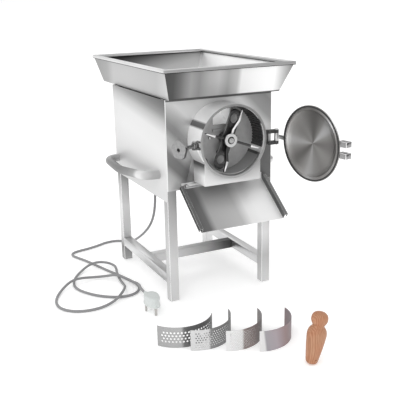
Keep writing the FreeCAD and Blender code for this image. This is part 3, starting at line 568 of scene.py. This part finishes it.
# ---- the CAD nodes that keep their own shape --------------------------------------
# bevel widths in millimetres; BRIGHT_EDGED nodes catch the lamps' light on theirs and also carry a painted
# highlight there, a near-white finish
EDGE_ROUNDING = {
    "leg_front_left": 1.4, "leg_front_right": 1.4, "leg_back_left": 1.4, "leg_back_right": 1.4,
    "rail_left": 1.4, "rail_right": 1.4, "rail_cross": 1.4, "side_panel_left": 0.5, "front_panel": 0.5,
    "discharge_chute": 0.4, "discharge_throat": 0.8,
    "blade_1": 1.2, "blade_2": 1.2, "blade_3": 1.2, "blade_4": 1.2,
    "rotor_bar": 1.5, "door_arm": 1.2, "door_lugs": 1.5, "hinge_bracket": 1.2,
    "latch_fork": 1.2, "machine_bolts": 0.8, "hub_nut": 0.8,
}
BRIGHT_EDGED = ("leg_front_left", "leg_front_right", "leg_back_left", "discharge_chute", "door_lugs")

# how far a face's normal reaches along an axis that the face is turned to
MOSTLY = 0.6
SQUARE_ON = 0.9
# places on the rotor, in millimetres
BLADE_TIP_REAR = -394.0
CUP_R = 14.6
BAR_DISC_R = 30.0


def paint_mesh(mesh, material, chosen):
    """Gives one finish to the faces that chosen(centre, normal) picks; the centre is in mm."""
    mesh.materials.append(material)
    place = len(mesh.materials) - 1
    for face in mesh.polygons:
        if chosen(face.center / MM, face.normal):
            face.material_index = place


def paint_faces(node, material, chosen):
    paint_mesh(frame["nodes"][node].data, material, chosen)


def on_right_lip(centre, normal):
    """The chute's right wall and the top of its folded lip, the faces that get painted shade."""
    on_wall = centre.x > 180 and abs(normal.x) > MOSTLY
    return on_wall or (centre.x > 186 and normal.z > 0.5)


def dress_cad_nodes():
    """Gives each CAD node its finish or its bands of painted reflection and shade, smooth shading and, where
    it shows, rounded edges, some with a painted highlight.
    """
    for name, node in frame["nodes"].items():
        material = NODE_LOOKS.get(name, MATERIALS[SLOT_OF[name]])
        node.data.materials.clear()
        node.data.materials.append(material)
        for face in node.data.polygons:
            face.material_index = 0
            face.use_smooth = True
        node.data.set_sharp_from_angle(angle=math.radians(28))
        if name in EDGE_ROUNDING:
            weld = node.modifiers.new("Join", "WELD")
            weld.merge_threshold = 1e-5
            bevel = node.modifiers.new("Edges", "BEVEL")
            bevel.width = EDGE_ROUNDING[name] * MM
            bevel.segments = 2
            bevel.limit_method = "ANGLE"
            bevel.angle_limit = math.radians(40)
            bevel.harden_normals = True
            # painted highlight: these bevels get the near-white BRIGHT_EDGE finish
            if name in BRIGHT_EDGED:
                node.data.materials.append(BRIGHT_EDGE)
                bevel.material = 1
    paint_hopper()
    paint_chamber()
    paint_rotor()


def paint_chamber():
    """The chute, drum ring, throat, fork and bolts, with painted shade on the chute's walls, the throat's
    side, the bolts' sides and the swing bolt's end.
    """
    # painted shade: the chute's left walls near-black
    paint_faces("discharge_chute", PAINTED_SHADE, lambda c, n: abs(n.x) > MOSTLY and c.x < 0)
    # painted shade: the chute's right wall and lip a darker copy of its steel
    lip = steel("chute_lip_painted_shade", 0.2, 0.3, 0.35, 0.45)
    paint_faces("discharge_chute", lip, on_right_lip)
    ring = steel("drum_ring_steel", 0.4, 0.5, 0.4, 0.5)
    paint_faces("chamber_drum", ring, lambda c, n: n.y < -SQUARE_ON)
    # painted shade at the top of the throat's side, painted light below it
    throat_side = banded("throat_side", (0, 0, 1), [
        (430, 0.95), (525, 0.92), (545, 0.5), (562, 0.1), (660, 0.1)])
    paint_faces("discharge_throat", throat_side, lambda c, n: n.x < -MOSTLY)
    flange = steel("chute_flange_steel", 0.72, 0.84, 0.4, 0.5)
    paint_faces("discharge_chute", flange, lambda c, n: n.y < -SQUARE_ON)
    gusset = steel("gusset_steel", 0.8, 0.92, 0.35, 0.45)
    paint_faces("latch_fork", gusset, lambda c, n: c.z < SHAFT_Z - 18)
    # painted shade on the sides of the bolts
    paint_faces("machine_bolts", PAINTED_SHADE, lambda c, n: abs(n.y) < 0.5)
    # painted shade: the swing bolt's end dark in the knob's bore
    paint_faces("latch_bolt", PAINTED_SHADE, lambda c, n: n.x < -0.85 and c.x < LATCH[0] - 60)


def from_shaft(centre):
    return math.hypot(centre.x, centre.z - SHAFT_Z)


def paint_rotor():
    # painted shade: the blades' arms and the left faces of blade_1, a near-black copy of the blade steel; the
    # tips' front faces get the lighter copy as painted light
    arm = steel("blade_arm_painted_shade", 0.06, 0.1, 0.35, 0.45, (30, 1, 1))
    tip = NODE_LOOKS["blade_1"]
    for blade in ("blade_2", "blade_3", "blade_4"):
        paint_faces(blade, arm, lambda c, n: c.y > BLADE_TIP_REAR)
        paint_faces(blade, tip, lambda c, n: c.y <= BLADE_TIP_REAR and n.y < -SQUARE_ON)
    paint_faces("blade_1", arm, lambda c, n: n.x < -MOSTLY)
    # painted shade: the hub washer's cup near-black
    paint_faces("hub_washer", PAINTED_SHADE, lambda c, n: from_shaft(c) < CUP_R)
    # painted highlight: the bar's side faces a lighter copy of its steel
    edge = cast("bar_edge_painted_highlight", 0.2, 0.3, 0.4, 60.0)
    paint_faces("rotor_bar", edge, lambda c, n: abs(n.y) < 0.3 and from_shaft(c) > BAR_DISC_R)


def paint_hopper():
    # the hopper's walls: bands of painted reflection and painted shade
    front = banded("hopper_front", (1, 0, 0), [
        (-240, 0.07), (-205, 0.09), (-180, 0.16), (-135, 0.36), (-100, 0.3), (-60, 0.46), (-20, 0.56),
        (20, 0.4), (60, 0.56), (78, 0.9), (225, 1.0), (262, 0.6), (310, 0.2)])
    # a painted shadow line along the foot of the hopper's front
    streak(front, 0.08, ((0, 0, 1), (806, 809, 813, 816)))
    paint_faces("hopper_tray", front, lambda c, n: n.y < -MOSTLY and c.y < -280)
    back = banded("hopper_back_inside", (0.2, 0, -1), [
        (-965, 0.01), (-925, 0.03), (-895, 0.12), (-865, 0.3), (-830, 0.5), (-760, 0.66)])
    paint_faces("hopper_tray", back, lambda c, n: n.y < -MOSTLY and c.y > 380)
    left = banded("hopper_left_outside", (0, -1, -0.6), [
        (-1000, 0.3), (-860, 0.36), (-780, 0.5), (-600, 0.5), (-300, 0.46), (-150, 0.6)])
    paint_faces("hopper_tray", left, lambda c, n: n.x < -MOSTLY and c.x < -200)
    # painted light: the right wall's inside a near-white copy of the steel
    right = steel("hopper_right_wall_painted_light", 0.92, 1.0, 0.45, 0.55)
    paint_faces("hopper_tray", right, lambda c, n: n.x < -MOSTLY and c.x > 200)


# ---- pieces that replace plain CAD solids -----------------------------------------
def make_cord():
    curve = bpy.data.curves.new("mains_cord_line", "CURVE")
    curve.dimensions = "3D"
    curve.bevel_depth = CORD_R * MM
    curve.bevel_resolution = 5
    curve.resolution_u = 8
    curve.use_fill_caps = True
    line = curve.splines.new("NURBS")
    line.points.add(len(CORD_ROUTE) - 1)
    for point, place in zip(line.points, CORD_ROUTE):
        point.co = (*(Vector(place) * MM), 1)
    line.order_u = 3
    line.use_endpoint_u = True
    cord = bpy.data.objects.new("mains_cord_sheath", curve)
    bpy.context.scene.collection.objects.link(cord)
    curve.materials.append(MATERIALS["cord_pvc"])
    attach(cord, "machine")
    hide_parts("mains_cord")
    return cord


def superellipse(half_x, half_y, power):
    """A rounded box outline; a higher power has squarer corners."""
    points = []
    for k in range(OUTLINE_STEPS):
        turn = 2 * math.pi * k / OUTLINE_STEPS
        c, s = math.cos(turn), math.sin(turn)
        points.append((
            half_x * math.copysign(abs(c) ** (2 / power), c),
            half_y * math.copysign(abs(s) ** (2 / power), s),
        ))
    return points


def loft(rings, cap=True):
    """Skins rings of the same number of points, each a list of (x, y, z) in millimetres."""
    bm = bmesh.new()
    rows = [[bm.verts.new(Vector(p) * MM) for p in ring] for ring in rings]
    count = len(rows[0])
    for low, high in zip(rows, rows[1:]):
        for k in range(count):
            bm.faces.new((low[k], low[(k + 1) % count], high[(k + 1) % count], high[k]))
    if cap:
        bm.faces.new(rows[0])
        bm.faces.new(rows[-1])
    return bm


def plug_outline(scale, z, nose):
    """The plug seen from above: rounded, narrower towards its nose."""
    half_w = PLUG_WIDTH / 2 - 0.5
    half_l = PLUG_LENGTH / 2 - 0.5
    points = []
    for x, y in superellipse(half_w, half_l, 2.7):
        along = (y + half_l) / (2 * half_l)
        narrow = nose + (1 - nose) * min(1.0, along * 1.7)
        points.append((PLUG_X + x * narrow * scale, PLUG_BACK - PLUG_LENGTH / 2 + y * scale, z))
    return points


def make_plug():
    top = PLUG_BOTTOM + PLUG_HEIGHT
    rings = [
        plug_outline(0.95, PLUG_BOTTOM, 0.72),
        plug_outline(1.0, PLUG_BOTTOM + 1.5, 0.72),
        plug_outline(1.0, PLUG_BOTTOM + 6.5, 0.72),
        plug_outline(0.94, PLUG_BOTTOM + 8.5, 0.72),
        plug_outline(0.93, top - 12, 0.7),
        plug_outline(0.975, top - 10, 0.7),
        plug_outline(0.975, top - 5, 0.7),
        plug_outline(0.94, top - 1.6, 0.7),
        plug_outline(0.86, top, 0.7),
        plug_outline(0.6, top - 0.4, 0.7),
    ]
    body = link_piece(
        "plug_shell", mesh_from(loft(rings), "plug_shell", 50), MATERIALS["plug_plastic"],
        "machine", ("plug_body",),
    )
    neck_profile = []
    ribs = 6
    for k in range(ribs):
        base = 1 + k * (PLUG_NECK - 4) / ribs
        crest = 10.6 - 3.0 * k / ribs
        groove = crest - 1.6
        neck_profile += [(crest, base), (crest, base + 2.8), (groove, base + 3.2), (groove, base + 4.4)]
    neck_start = [(0, -8), (10.6, -8)]
    neck_end = [(7.4, PLUG_NECK - 1), (6.4, PLUG_NECK), (0, PLUG_NECK)]
    bm = lathe(neck_start + neck_profile + neck_end, 32)
    bmesh.ops.transform(bm, matrix=Matrix.Rotation(math.radians(-90), 4, "X"), verts=bm.verts)
    bmesh.ops.translate(bm, vec=Vector((PLUG_X, PLUG_BACK, CORD_PLUG_Z)) * MM, verts=bm.verts)
    neck = link_piece(
        "plug_strain_relief", mesh_from(bm, "plug_strain_relief"), MATERIALS["plug_plastic"],
        "machine", (),
    )
    line_y = PLUG_BACK - PIN_LINE
    pins = bmesh.new()
    for x, y, radius in (
        (PLUG_X, line_y - EARTH_OFFSET, 5.5),
        (PLUG_X - PIN_SPACING / 2, line_y, 4.7),
        (PLUG_X + PIN_SPACING / 2, line_y, 4.7),
    ):
        tip = [(0, 0), (radius * 0.55, 0.1), (radius * 0.88, 1.2), (radius, 3.4)]
        one = lathe(tip + [(radius, PLUG_BOTTOM), (0, PLUG_BOTTOM)], 28)
        bmesh.ops.translate(one, vec=Vector((x, y, 0)) * MM, verts=one.verts)
        part = bpy.data.meshes.new("pin")
        one.to_mesh(part)
        one.free()
        pins.from_mesh(part)
    pin_piece = link_piece(
        "plug_round_pins", mesh_from(pins, "plug_round_pins"), MATERIALS["plug_brass"],
        "machine", ("plug_pins",),
    )
    return [body, neck, pin_piece]


def hole_cell(u_low, u_high, v_low, v_high, hole):
    """One cell's outline and the ring of the hole in it, point for point."""
    u_mid = (u_low + u_high) / 2
    v_mid = (v_low + v_high) / 2
    outline = [
        (u_high, v_mid), (u_high, v_high), (u_mid, v_high), (u_low, v_high),
        (u_low, v_mid), (u_low, v_low), (u_mid, v_low), (u_high, v_low),
    ]
    ring = []
    for k in range(HOLE_SIDES):
        turn = 2 * math.pi * k / HOLE_SIDES
        ring.append((u_mid + hole / 2 * math.cos(turn), v_mid + hole / 2 * math.sin(turn)))
    return outline, ring


def perforated_sheet(name, x0, y0, start, hole, pitch, border):
    """A curved plate with staggered rows of round holes and a plain margin."""
    inner = SCREEN_R - SCREEN_SHEET
    arc = math.radians(SCREEN_SWEEP) * SCREEN_R
    columns = int((arc - 20) / pitch)
    row_step = pitch * math.sqrt(3) / 2
    rows = int((SCREEN_WIDTH - 2 * border) / row_step)
    margin_u = (arc - columns * pitch) / 2
    margin_v = (SCREEN_WIDTH - rows * row_step) / 2
    long_steps = int(arc / 4)
    bm = bmesh.new()
    lookup = {}

    def vertex(u, v, radius):
        key = (round(u, 3), round(v, 3), radius)
        if key not in lookup:
            turn = math.radians(start) + min(max(u, 0), arc) / SCREEN_R
            place = Vector((x0 + radius * math.cos(turn), y0 + radius * math.sin(turn), v)) * MM
            lookup[key] = bm.verts.new(place)
        return lookup[key]

    def quad(corners, radius):
        bm.faces.new([vertex(u, v, radius) for u, v in corners])

    def strip(u_start, u_end, v_low, v_high, steps, radius):
        for s in range(steps):
            a = u_start + (u_end - u_start) * s / steps
            b = u_start + (u_end - u_start) * (s + 1) / steps
            quad(((a, v_low), (b, v_low), (b, v_high), (a, v_high)), radius)

    def wall(a, b):
        bm.faces.new([
            vertex(*a, SCREEN_R), vertex(*b, SCREEN_R), vertex(*b, inner), vertex(*a, inner),
        ])

    for radius in (SCREEN_R, inner):
        for r in range(rows):
            odd = r % 2
            v_low = margin_v + r * row_step
            v_high = v_low + row_step
            u_first = margin_u + odd * pitch / 2
            cells = columns - odd
            for c in range(cells):
                u_low = u_first + c * pitch
                outline, ring = hole_cell(u_low, u_low + pitch, v_low, v_high, hole)
                for k in range(HOLE_SIDES):
                    m = (k + 1) % HOLE_SIDES
                    quad((outline[k], outline[m], ring[m], ring[k]), radius)
                    if radius == inner:
                        wall(ring[k], ring[m])
            u_last = u_first + cells * pitch
            for u_start, u_end in ((0.0, u_first), (u_last, arc)):
                steps = max(1, int((u_end - u_start) / 6))
                strip(u_start, u_end, v_low, v_high, steps, radius)
        strip(0.0, arc, 0.0, margin_v, long_steps, radius)
        strip(0.0, arc, margin_v + rows * row_step, SCREEN_WIDTH, long_steps, radius)
    for v in (0.0, SCREEN_WIDTH):
        for s in range(long_steps):
            wall((arc * s / long_steps, v), (arc * (s + 1) / long_steps, v))
    for u in (0.0, arc):
        wall((u, 0.0), (u, SCREEN_WIDTH))
    return mesh_from(bm, name, 30)


# tones across each sheet, in millimetres to the right of its centre of curvature: a light band of painted
# reflection on the left, then darker painted shade; the brownish tones are heat tint
ACROSS_SCREENS = (0.9, -0.435, 0)
SCREEN_TONES = {
    "screen_coarse": [(-80, 0.36), (16, 0.42), (26, 0.15), (90, 0.18), (130, 0.2)],
    "screen_medium": [(-80, 0.6), (44, 0.62), (52, 0.24), (90, 0.26), (130, 0.22)],
    "screen_fine": [(-80, 0.72), (48, 0.7), (56, (0.26, 0.22, 0.21)), (90, (0.3, 0.25, 0.24)), (130, 0.2)],
}


def make_screens():
    for node, (x0, y0, start, hole, pitch, border) in SCREENS.items():
        across = ACROSS_SCREENS[0] * x0 + ACROSS_SCREENS[1] * y0
        tones = [(across + place, tone) for place, tone in SCREEN_TONES[node]]
        # each sheet's colour: bands of painted reflection and painted shade
        finish = banded(node + "_painted_bands", ACROSS_SCREENS, tones)
        name = node + "_sheet"
        body = node.replace("screen_", "") + "_screen"
        mesh = perforated_sheet(name, x0, y0, start, hole, pitch, border)
        link_piece(name, mesh, finish, body, (node,))


def make_pusher():
    """A turned body with a cross bore near its foot, leaning as the model's does."""
    outline = [
        (0, 0), (9, 0), (14, 0.8), (18.5, 4), (21, 11), (24, 30), (28, 58), (31, 84), (32.6, 104),
        (31, 118), (25.5, 128), (20.6, 134), (20.6, 140), (24.5, 147), (27.5, 155), (28, 162),
        (26, 172), (19.5, 180), (9, 183.6), (0, PUSHER_HEIGHT),
    ]
    mesh = mesh_from(lathe(soft_curve(outline), 72), "wooden_pusher_body", 60)
    bore = lathe([(0, -50), (3, -50), (3, 50), (0, 50)], 20)
    bmesh.ops.transform(bore, matrix=Matrix.Rotation(math.radians(90), 4, "X"), verts=bore.verts)
    bmesh.ops.translate(bore, vec=(0, 0, 19 * MM), verts=bore.verts)
    cutter = bpy.data.objects.new("bore_cutter", mesh_from(bore, "bore_cutter"))
    bpy.context.scene.collection.objects.link(cutter)
    pusher = bpy.data.objects.new("wooden_pusher_body", mesh)
    bpy.context.scene.collection.objects.link(pusher)
    cut = pusher.modifiers.new("Bore", "BOOLEAN")
    cut.object = cutter
    cut.solver = "EXACT"
    bored = bpy.data.meshes.new_from_object(pusher.evaluated_get(bpy.context.evaluated_depsgraph_get()))
    bpy.data.objects.remove(pusher)
    bpy.data.objects.remove(cutter)
    bored.transform(Matrix.Rotation(math.radians(PUSHER_LEAN), 4, Vector((0.435, 0.9, 0))))
    lowest = min(v.co.z for v in bored.vertices)
    bored.transform(Matrix.Translation((PUSHER_X * MM, PUSHER_Y * MM, -lowest)))
    bored.name = "wooden_pusher_turned"
    bored.materials.clear()
    link_piece(
        "wooden_pusher_turned", bored, MATERIALS["pusher_wood"],
        "wooden_pusher", ("pusher",),
    )


def make_door():
    """The lid's dish with a rolled rim and a step inside it."""
    inside = [
        (0, 12.6), (20, 12.4), (50, 11.4), (80, 9.4), (102, 6.6), (115, 3.6), (121, 1.6), (123.5, 0.6),
        (125.5, 0.1), (127, 0.9), (128.5, 0.1), (136, 0.0), (139.5, 0.2), (140.6, 1.2), (140.9, 2.4),
        (140.2, 3.6), (138, 4.0), (129, 4.0), (125, 7), (120, 12.3), (105, 15.2), (80, 17.2), (50, 18.3),
        (20, 18.9), (0, 19.0),
    ]
    bm = lathe(soft_curve(inside, 4), 128)
    bmesh.ops.transform(bm, matrix=Matrix.Rotation(math.radians(90), 4, "X"), verts=bm.verts)
    bmesh.ops.translate(bm, vec=Vector((1.0, DOOR_FACE, SHAFT_Z)) * MM, verts=bm.verts)
    bmesh.ops.transform(bm, matrix=door_matrix(), verts=bm.verts)
    centre = door_matrix() @ (Vector((1.0, DOOR_FACE, SHAFT_Z)) * MM)
    material = spun_steel("spun_lid_painted_glints", centre, math.radians(DOOR_OPEN))
    return link_piece(
        "door_lid_dish", mesh_from(bm, "door_lid_dish", 45), material, "door", ("door_lid",)
    )


def make_knob():
    """A five-lobed cast knob with rounded edges, a boss towards the eye and a through bore.

    Places are in millimetres along the bolt, from its pivot.
    """
    front = -90.0
    rear = front + 14.0
    washer = -62.2
    bore = 7.2
    steps = 120

    def ring(radius, y, lobes):
        points = []
        for k in range(steps):
            turn = 2 * math.pi * k / steps
            reach = radius + lobes * (math.cos(5 * (turn - math.pi / 2)) - 1)
            points.append((reach * math.cos(turn), y, reach * math.sin(turn)))
        return points

    rings = [
        ring(bore, washer, 0), ring(12.6, washer, 0), ring(13, washer - 1, 0), ring(13, rear + 1.5, 0),
        ring(15, rear, 0.3), ring(KNOB_R - 4, rear, 1.7), ring(KNOB_R - 1.2, rear - 1.4, 2.0),
        ring(KNOB_R - 0.2, rear - 4, 2.1), ring(KNOB_R - 0.2, front + 4, 2.1),
        ring(KNOB_R - 1.4, front + 1.3, 2.0), ring(KNOB_R - 4, front, 1.7), ring(16, front + 0.4, 0.2),
        ring(12, front + 0.2, 0), ring(bore + 1.2, front + 0.2, 0), ring(bore, front + 1.2, 0),
    ]
    bm = loft(rings, cap=False)
    edges = []
    for mouth in (washer, front + 1.2):
        around = [
            v for v in bm.verts
            if abs(v.co.y - mouth * MM) < 1e-6 and v.co.xz.length < (bore + 0.1) * MM
        ]
        edges += [e for e in bm.edges if all(v in around for v in e.verts)]
    bmesh.ops.bridge_loops(bm, edges=edges)
    bmesh.ops.translate(bm, vec=Vector((LATCH[0], LATCH[1], SHAFT_Z)) * MM, verts=bm.verts)
    bmesh.ops.transform(bm, matrix=latch_matrix(), verts=bm.verts)
    knob = link_piece(
        "clamp_knob_casting", mesh_from(bm, "clamp_knob_casting", 40), MATERIALS["knob_cast"],
        "clamp_knob", ("latch_knob",),
    )
    axis = latch_matrix().to_3x3() @ Vector((0, 1, 0))
    # painted shade: the knob's sides, save those that face up, near-black
    under = cast("knob_side_painted_shade", 0.05, 0.1, 0.45, 60.0)
    paint_mesh(knob.data, under, lambda c, n: abs(n.dot(axis)) < 0.5 and n.z < 0.45)
    return knob


def make_rim():
    """The hopper's rim band: a folded edge with a shallow channel along its top."""
    low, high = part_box("hopper_rim")
    x0, x1, y0, y1 = (v / MM for v in (low.x, high.x, low.y, high.y))
    bottom, top = low.z / MM, high.z / MM
    section = [
        (0.0, bottom + 2.6), (0.0, top - 2.4), (0.7, top - 0.7), (2.4, top), (3.8, top - 0.4),
        (4.6, top - 1.8), (11.4, top - 1.8), (12.2, top - 0.4), (13.6, top), (15.3, top - 0.7),
        (16.0, top - 2.4), (16.0, bottom + 2.6), (14.8, bottom), (1.2, bottom),
    ]
    bm = bmesh.new()
    loops = []
    for inset, z in section:
        left, right = x0 + inset, x1 - inset
        near, far = y0 + inset, y1 - inset
        corners = [(left, near), (right, near), (right, far), (left, far)]
        loops.append([bm.verts.new(Vector((x, y, z)) * MM) for x, y in corners])
    for k, loop in enumerate(loops):
        after = loops[(k + 1) % len(loops)]
        for c in range(4):
            d = (c + 1) % 4
            bm.faces.new((loop[c], loop[d], after[d], after[c]))
    rim = link_piece(
        "hopper_rim_band", mesh_from(bm, "hopper_rim_band", 50), MATERIALS["polished_steel"],
        "machine", ("hopper_rim",),
    )
    # painted shade: a near-black strip along the foot of the rim band
    rim.data.materials.append(PAINTED_SHADE)
    for face in rim.data.polygons:
        if face.center.z / MM < bottom + 2:
            face.material_index = 1


# ---- stage: floor, light, reflected cards, camera ---------------------------------
def make_floor():
    material, tree, shader = new_material("pale_floor")
    tone = ramp(tree, noise(tree, 0.8, 2.0), [(0.3, grey(0.93)), (0.7, grey(0.95))])
    tree.links.new(tone, shader.inputs["Base Color"])
    shader.inputs["Roughness"].default_value = 0.9
    shader.inputs["Specular IOR Level"].default_value = 0.1
    shader.inputs["Emission Color"].default_value = (1, 1, 1, 1)
    shader.inputs["Emission Strength"].default_value = 0.22
    bm = bmesh.new()
    bmesh.ops.create_grid(bm, x_segments=2, y_segments=2, size=150)
    mesh = bpy.data.meshes.new("stage_floor")
    bm.to_mesh(mesh)
    bm.free()
    floor = bpy.data.objects.new("stage_floor", mesh)
    floor.location.z = -0.0005
    bpy.context.scene.collection.objects.link(floor)
    mesh.materials.append(material)


def make_world():
    """White for the floor and the backdrop, and a greyer, uneven room in the steel's reflections."""
    world = bpy.data.worlds.new("studio")
    bpy.context.scene.world = world
    world.use_nodes = True
    tree = world.node_tree
    room = tree.nodes["Background"]
    place = add(tree, "ShaderNodeTexCoord")
    toward = add(tree, "ShaderNodeVectorMath", operation="DOT_PRODUCT")
    toward.inputs[1].default_value = (0.75, -0.35, -0.25)
    tree.links.new(place.outputs["Generated"], toward.inputs[0])
    spread = add(tree, "ShaderNodeMapRange")
    spread.inputs["From Min"].default_value = -0.9
    spread.inputs["From Max"].default_value = 0.9
    tree.links.new(toward.outputs["Value"], spread.inputs["Value"])
    levels = ((0.0, 1.0), (0.3, 0.95), (0.5, 0.6), (0.62, 0.85), (0.8, 0.5), (1.0, 0.4))
    tones = [(at, grey(level)) for at, level in levels]
    tree.links.new(ramp(tree, spread.outputs["Result"], tones), room.inputs["Color"])
    white = add(tree, "ShaderNodeBackground")
    white.inputs["Color"].default_value = (1, 1, 1, 1)
    path = add(tree, "ShaderNodeLightPath")
    mix = add(tree, "ShaderNodeMixShader")
    tree.links.new(path.outputs["Is Glossy Ray"], mix.inputs["Fac"])
    tree.links.new(white.outputs[0], mix.inputs[1])
    tree.links.new(room.outputs[0], mix.inputs[2])
    tree.links.new(mix.outputs[0], tree.nodes["World Output"].inputs["Surface"])


def softbox(name, place, target, size, power):
    light = bpy.data.lights.new(name, "AREA")
    light.shape = "RECTANGLE"
    light.size, light.size_y = size
    light.energy = power
    lamp = bpy.data.objects.new(name, light)
    lamp.location = place
    lamp.visible_camera = False
    lamp.rotation_euler = (Vector(target) - Vector(place)).to_track_quat("-Z", "Y").to_euler()
    bpy.context.scene.collection.objects.link(lamp)


def card(name, centre, facing, size, level):
    """A studio flag or reflector that only reflections see."""
    material, tree, shader = new_material(name)
    tree.nodes.remove(shader)
    glow = add(tree, "ShaderNodeEmission")
    glow.inputs["Color"].default_value = (*grey(level), 1)
    tree.links.new(glow.outputs[0], tree.nodes["Material Output"].inputs["Surface"])
    bm = bmesh.new()
    bmesh.ops.create_grid(bm, x_segments=1, y_segments=1, size=0.5)
    mesh = bpy.data.meshes.new(name)
    bm.to_mesh(mesh)
    bm.free()
    mesh.materials.append(material)
    flag = bpy.data.objects.new(name, mesh)
    flag.location = centre
    flag.rotation_euler = Vector(facing).to_track_quat("Z", "Y").to_euler()
    flag.scale = (size[0], size[1], 1)
    for ray in ("camera", "diffuse", "shadow", "transmission", "volume_scatter"):
        setattr(flag, "visible_" + ray, False)
    bpy.context.scene.collection.objects.link(flag)


def make_lights():
    softbox("key_box", (-2.2, -2.6, 3.0), (0, 0, 0.5), (2.0, 2.0), 26)
    softbox("back_box", (0.4, 3.0, 3.0), (0, 0, 0.6), (2.5, 1.5), 14)
    card("front_flag", (1.1, -1.95, 0.45), (0, 1, 0), (1.9, 1.1), 0.34)


def make_camera():
    yaw, pitch, roll = (math.radians(v) for v in (CAMERA_YAW, CAMERA_PITCH, CAMERA_ROLL))
    forward = Vector((math.sin(yaw) * math.cos(pitch), math.cos(yaw) * math.cos(pitch), -math.sin(pitch)))
    level = Vector((math.cos(yaw), -math.sin(yaw), 0))
    upright = level.cross(forward)
    right = level * math.cos(roll) + upright * math.sin(roll)
    up = upright * math.cos(roll) - level * math.sin(roll)
    data = bpy.data.cameras.new("photo_camera")
    data.lens = LENS
    data.sensor_width = 36
    data.clip_end = 400
    camera = bpy.data.objects.new("photo_camera", data)
    axes = Matrix((right, up, -forward)).transposed()
    camera.matrix_world = Matrix.Translation(CAMERA_PLACE) @ axes.to_4x4()
    bpy.context.scene.collection.objects.link(camera)
    bpy.context.scene.camera = camera


make_camera()
cord = make_cord()
plug = make_plug()
dress_cad_nodes()
make_screens()
make_pusher()
make_door()
make_knob()
make_rim()
make_floor()
make_world()
make_lights()
bpy.context.scene.view_settings.view_transform = "Standard"
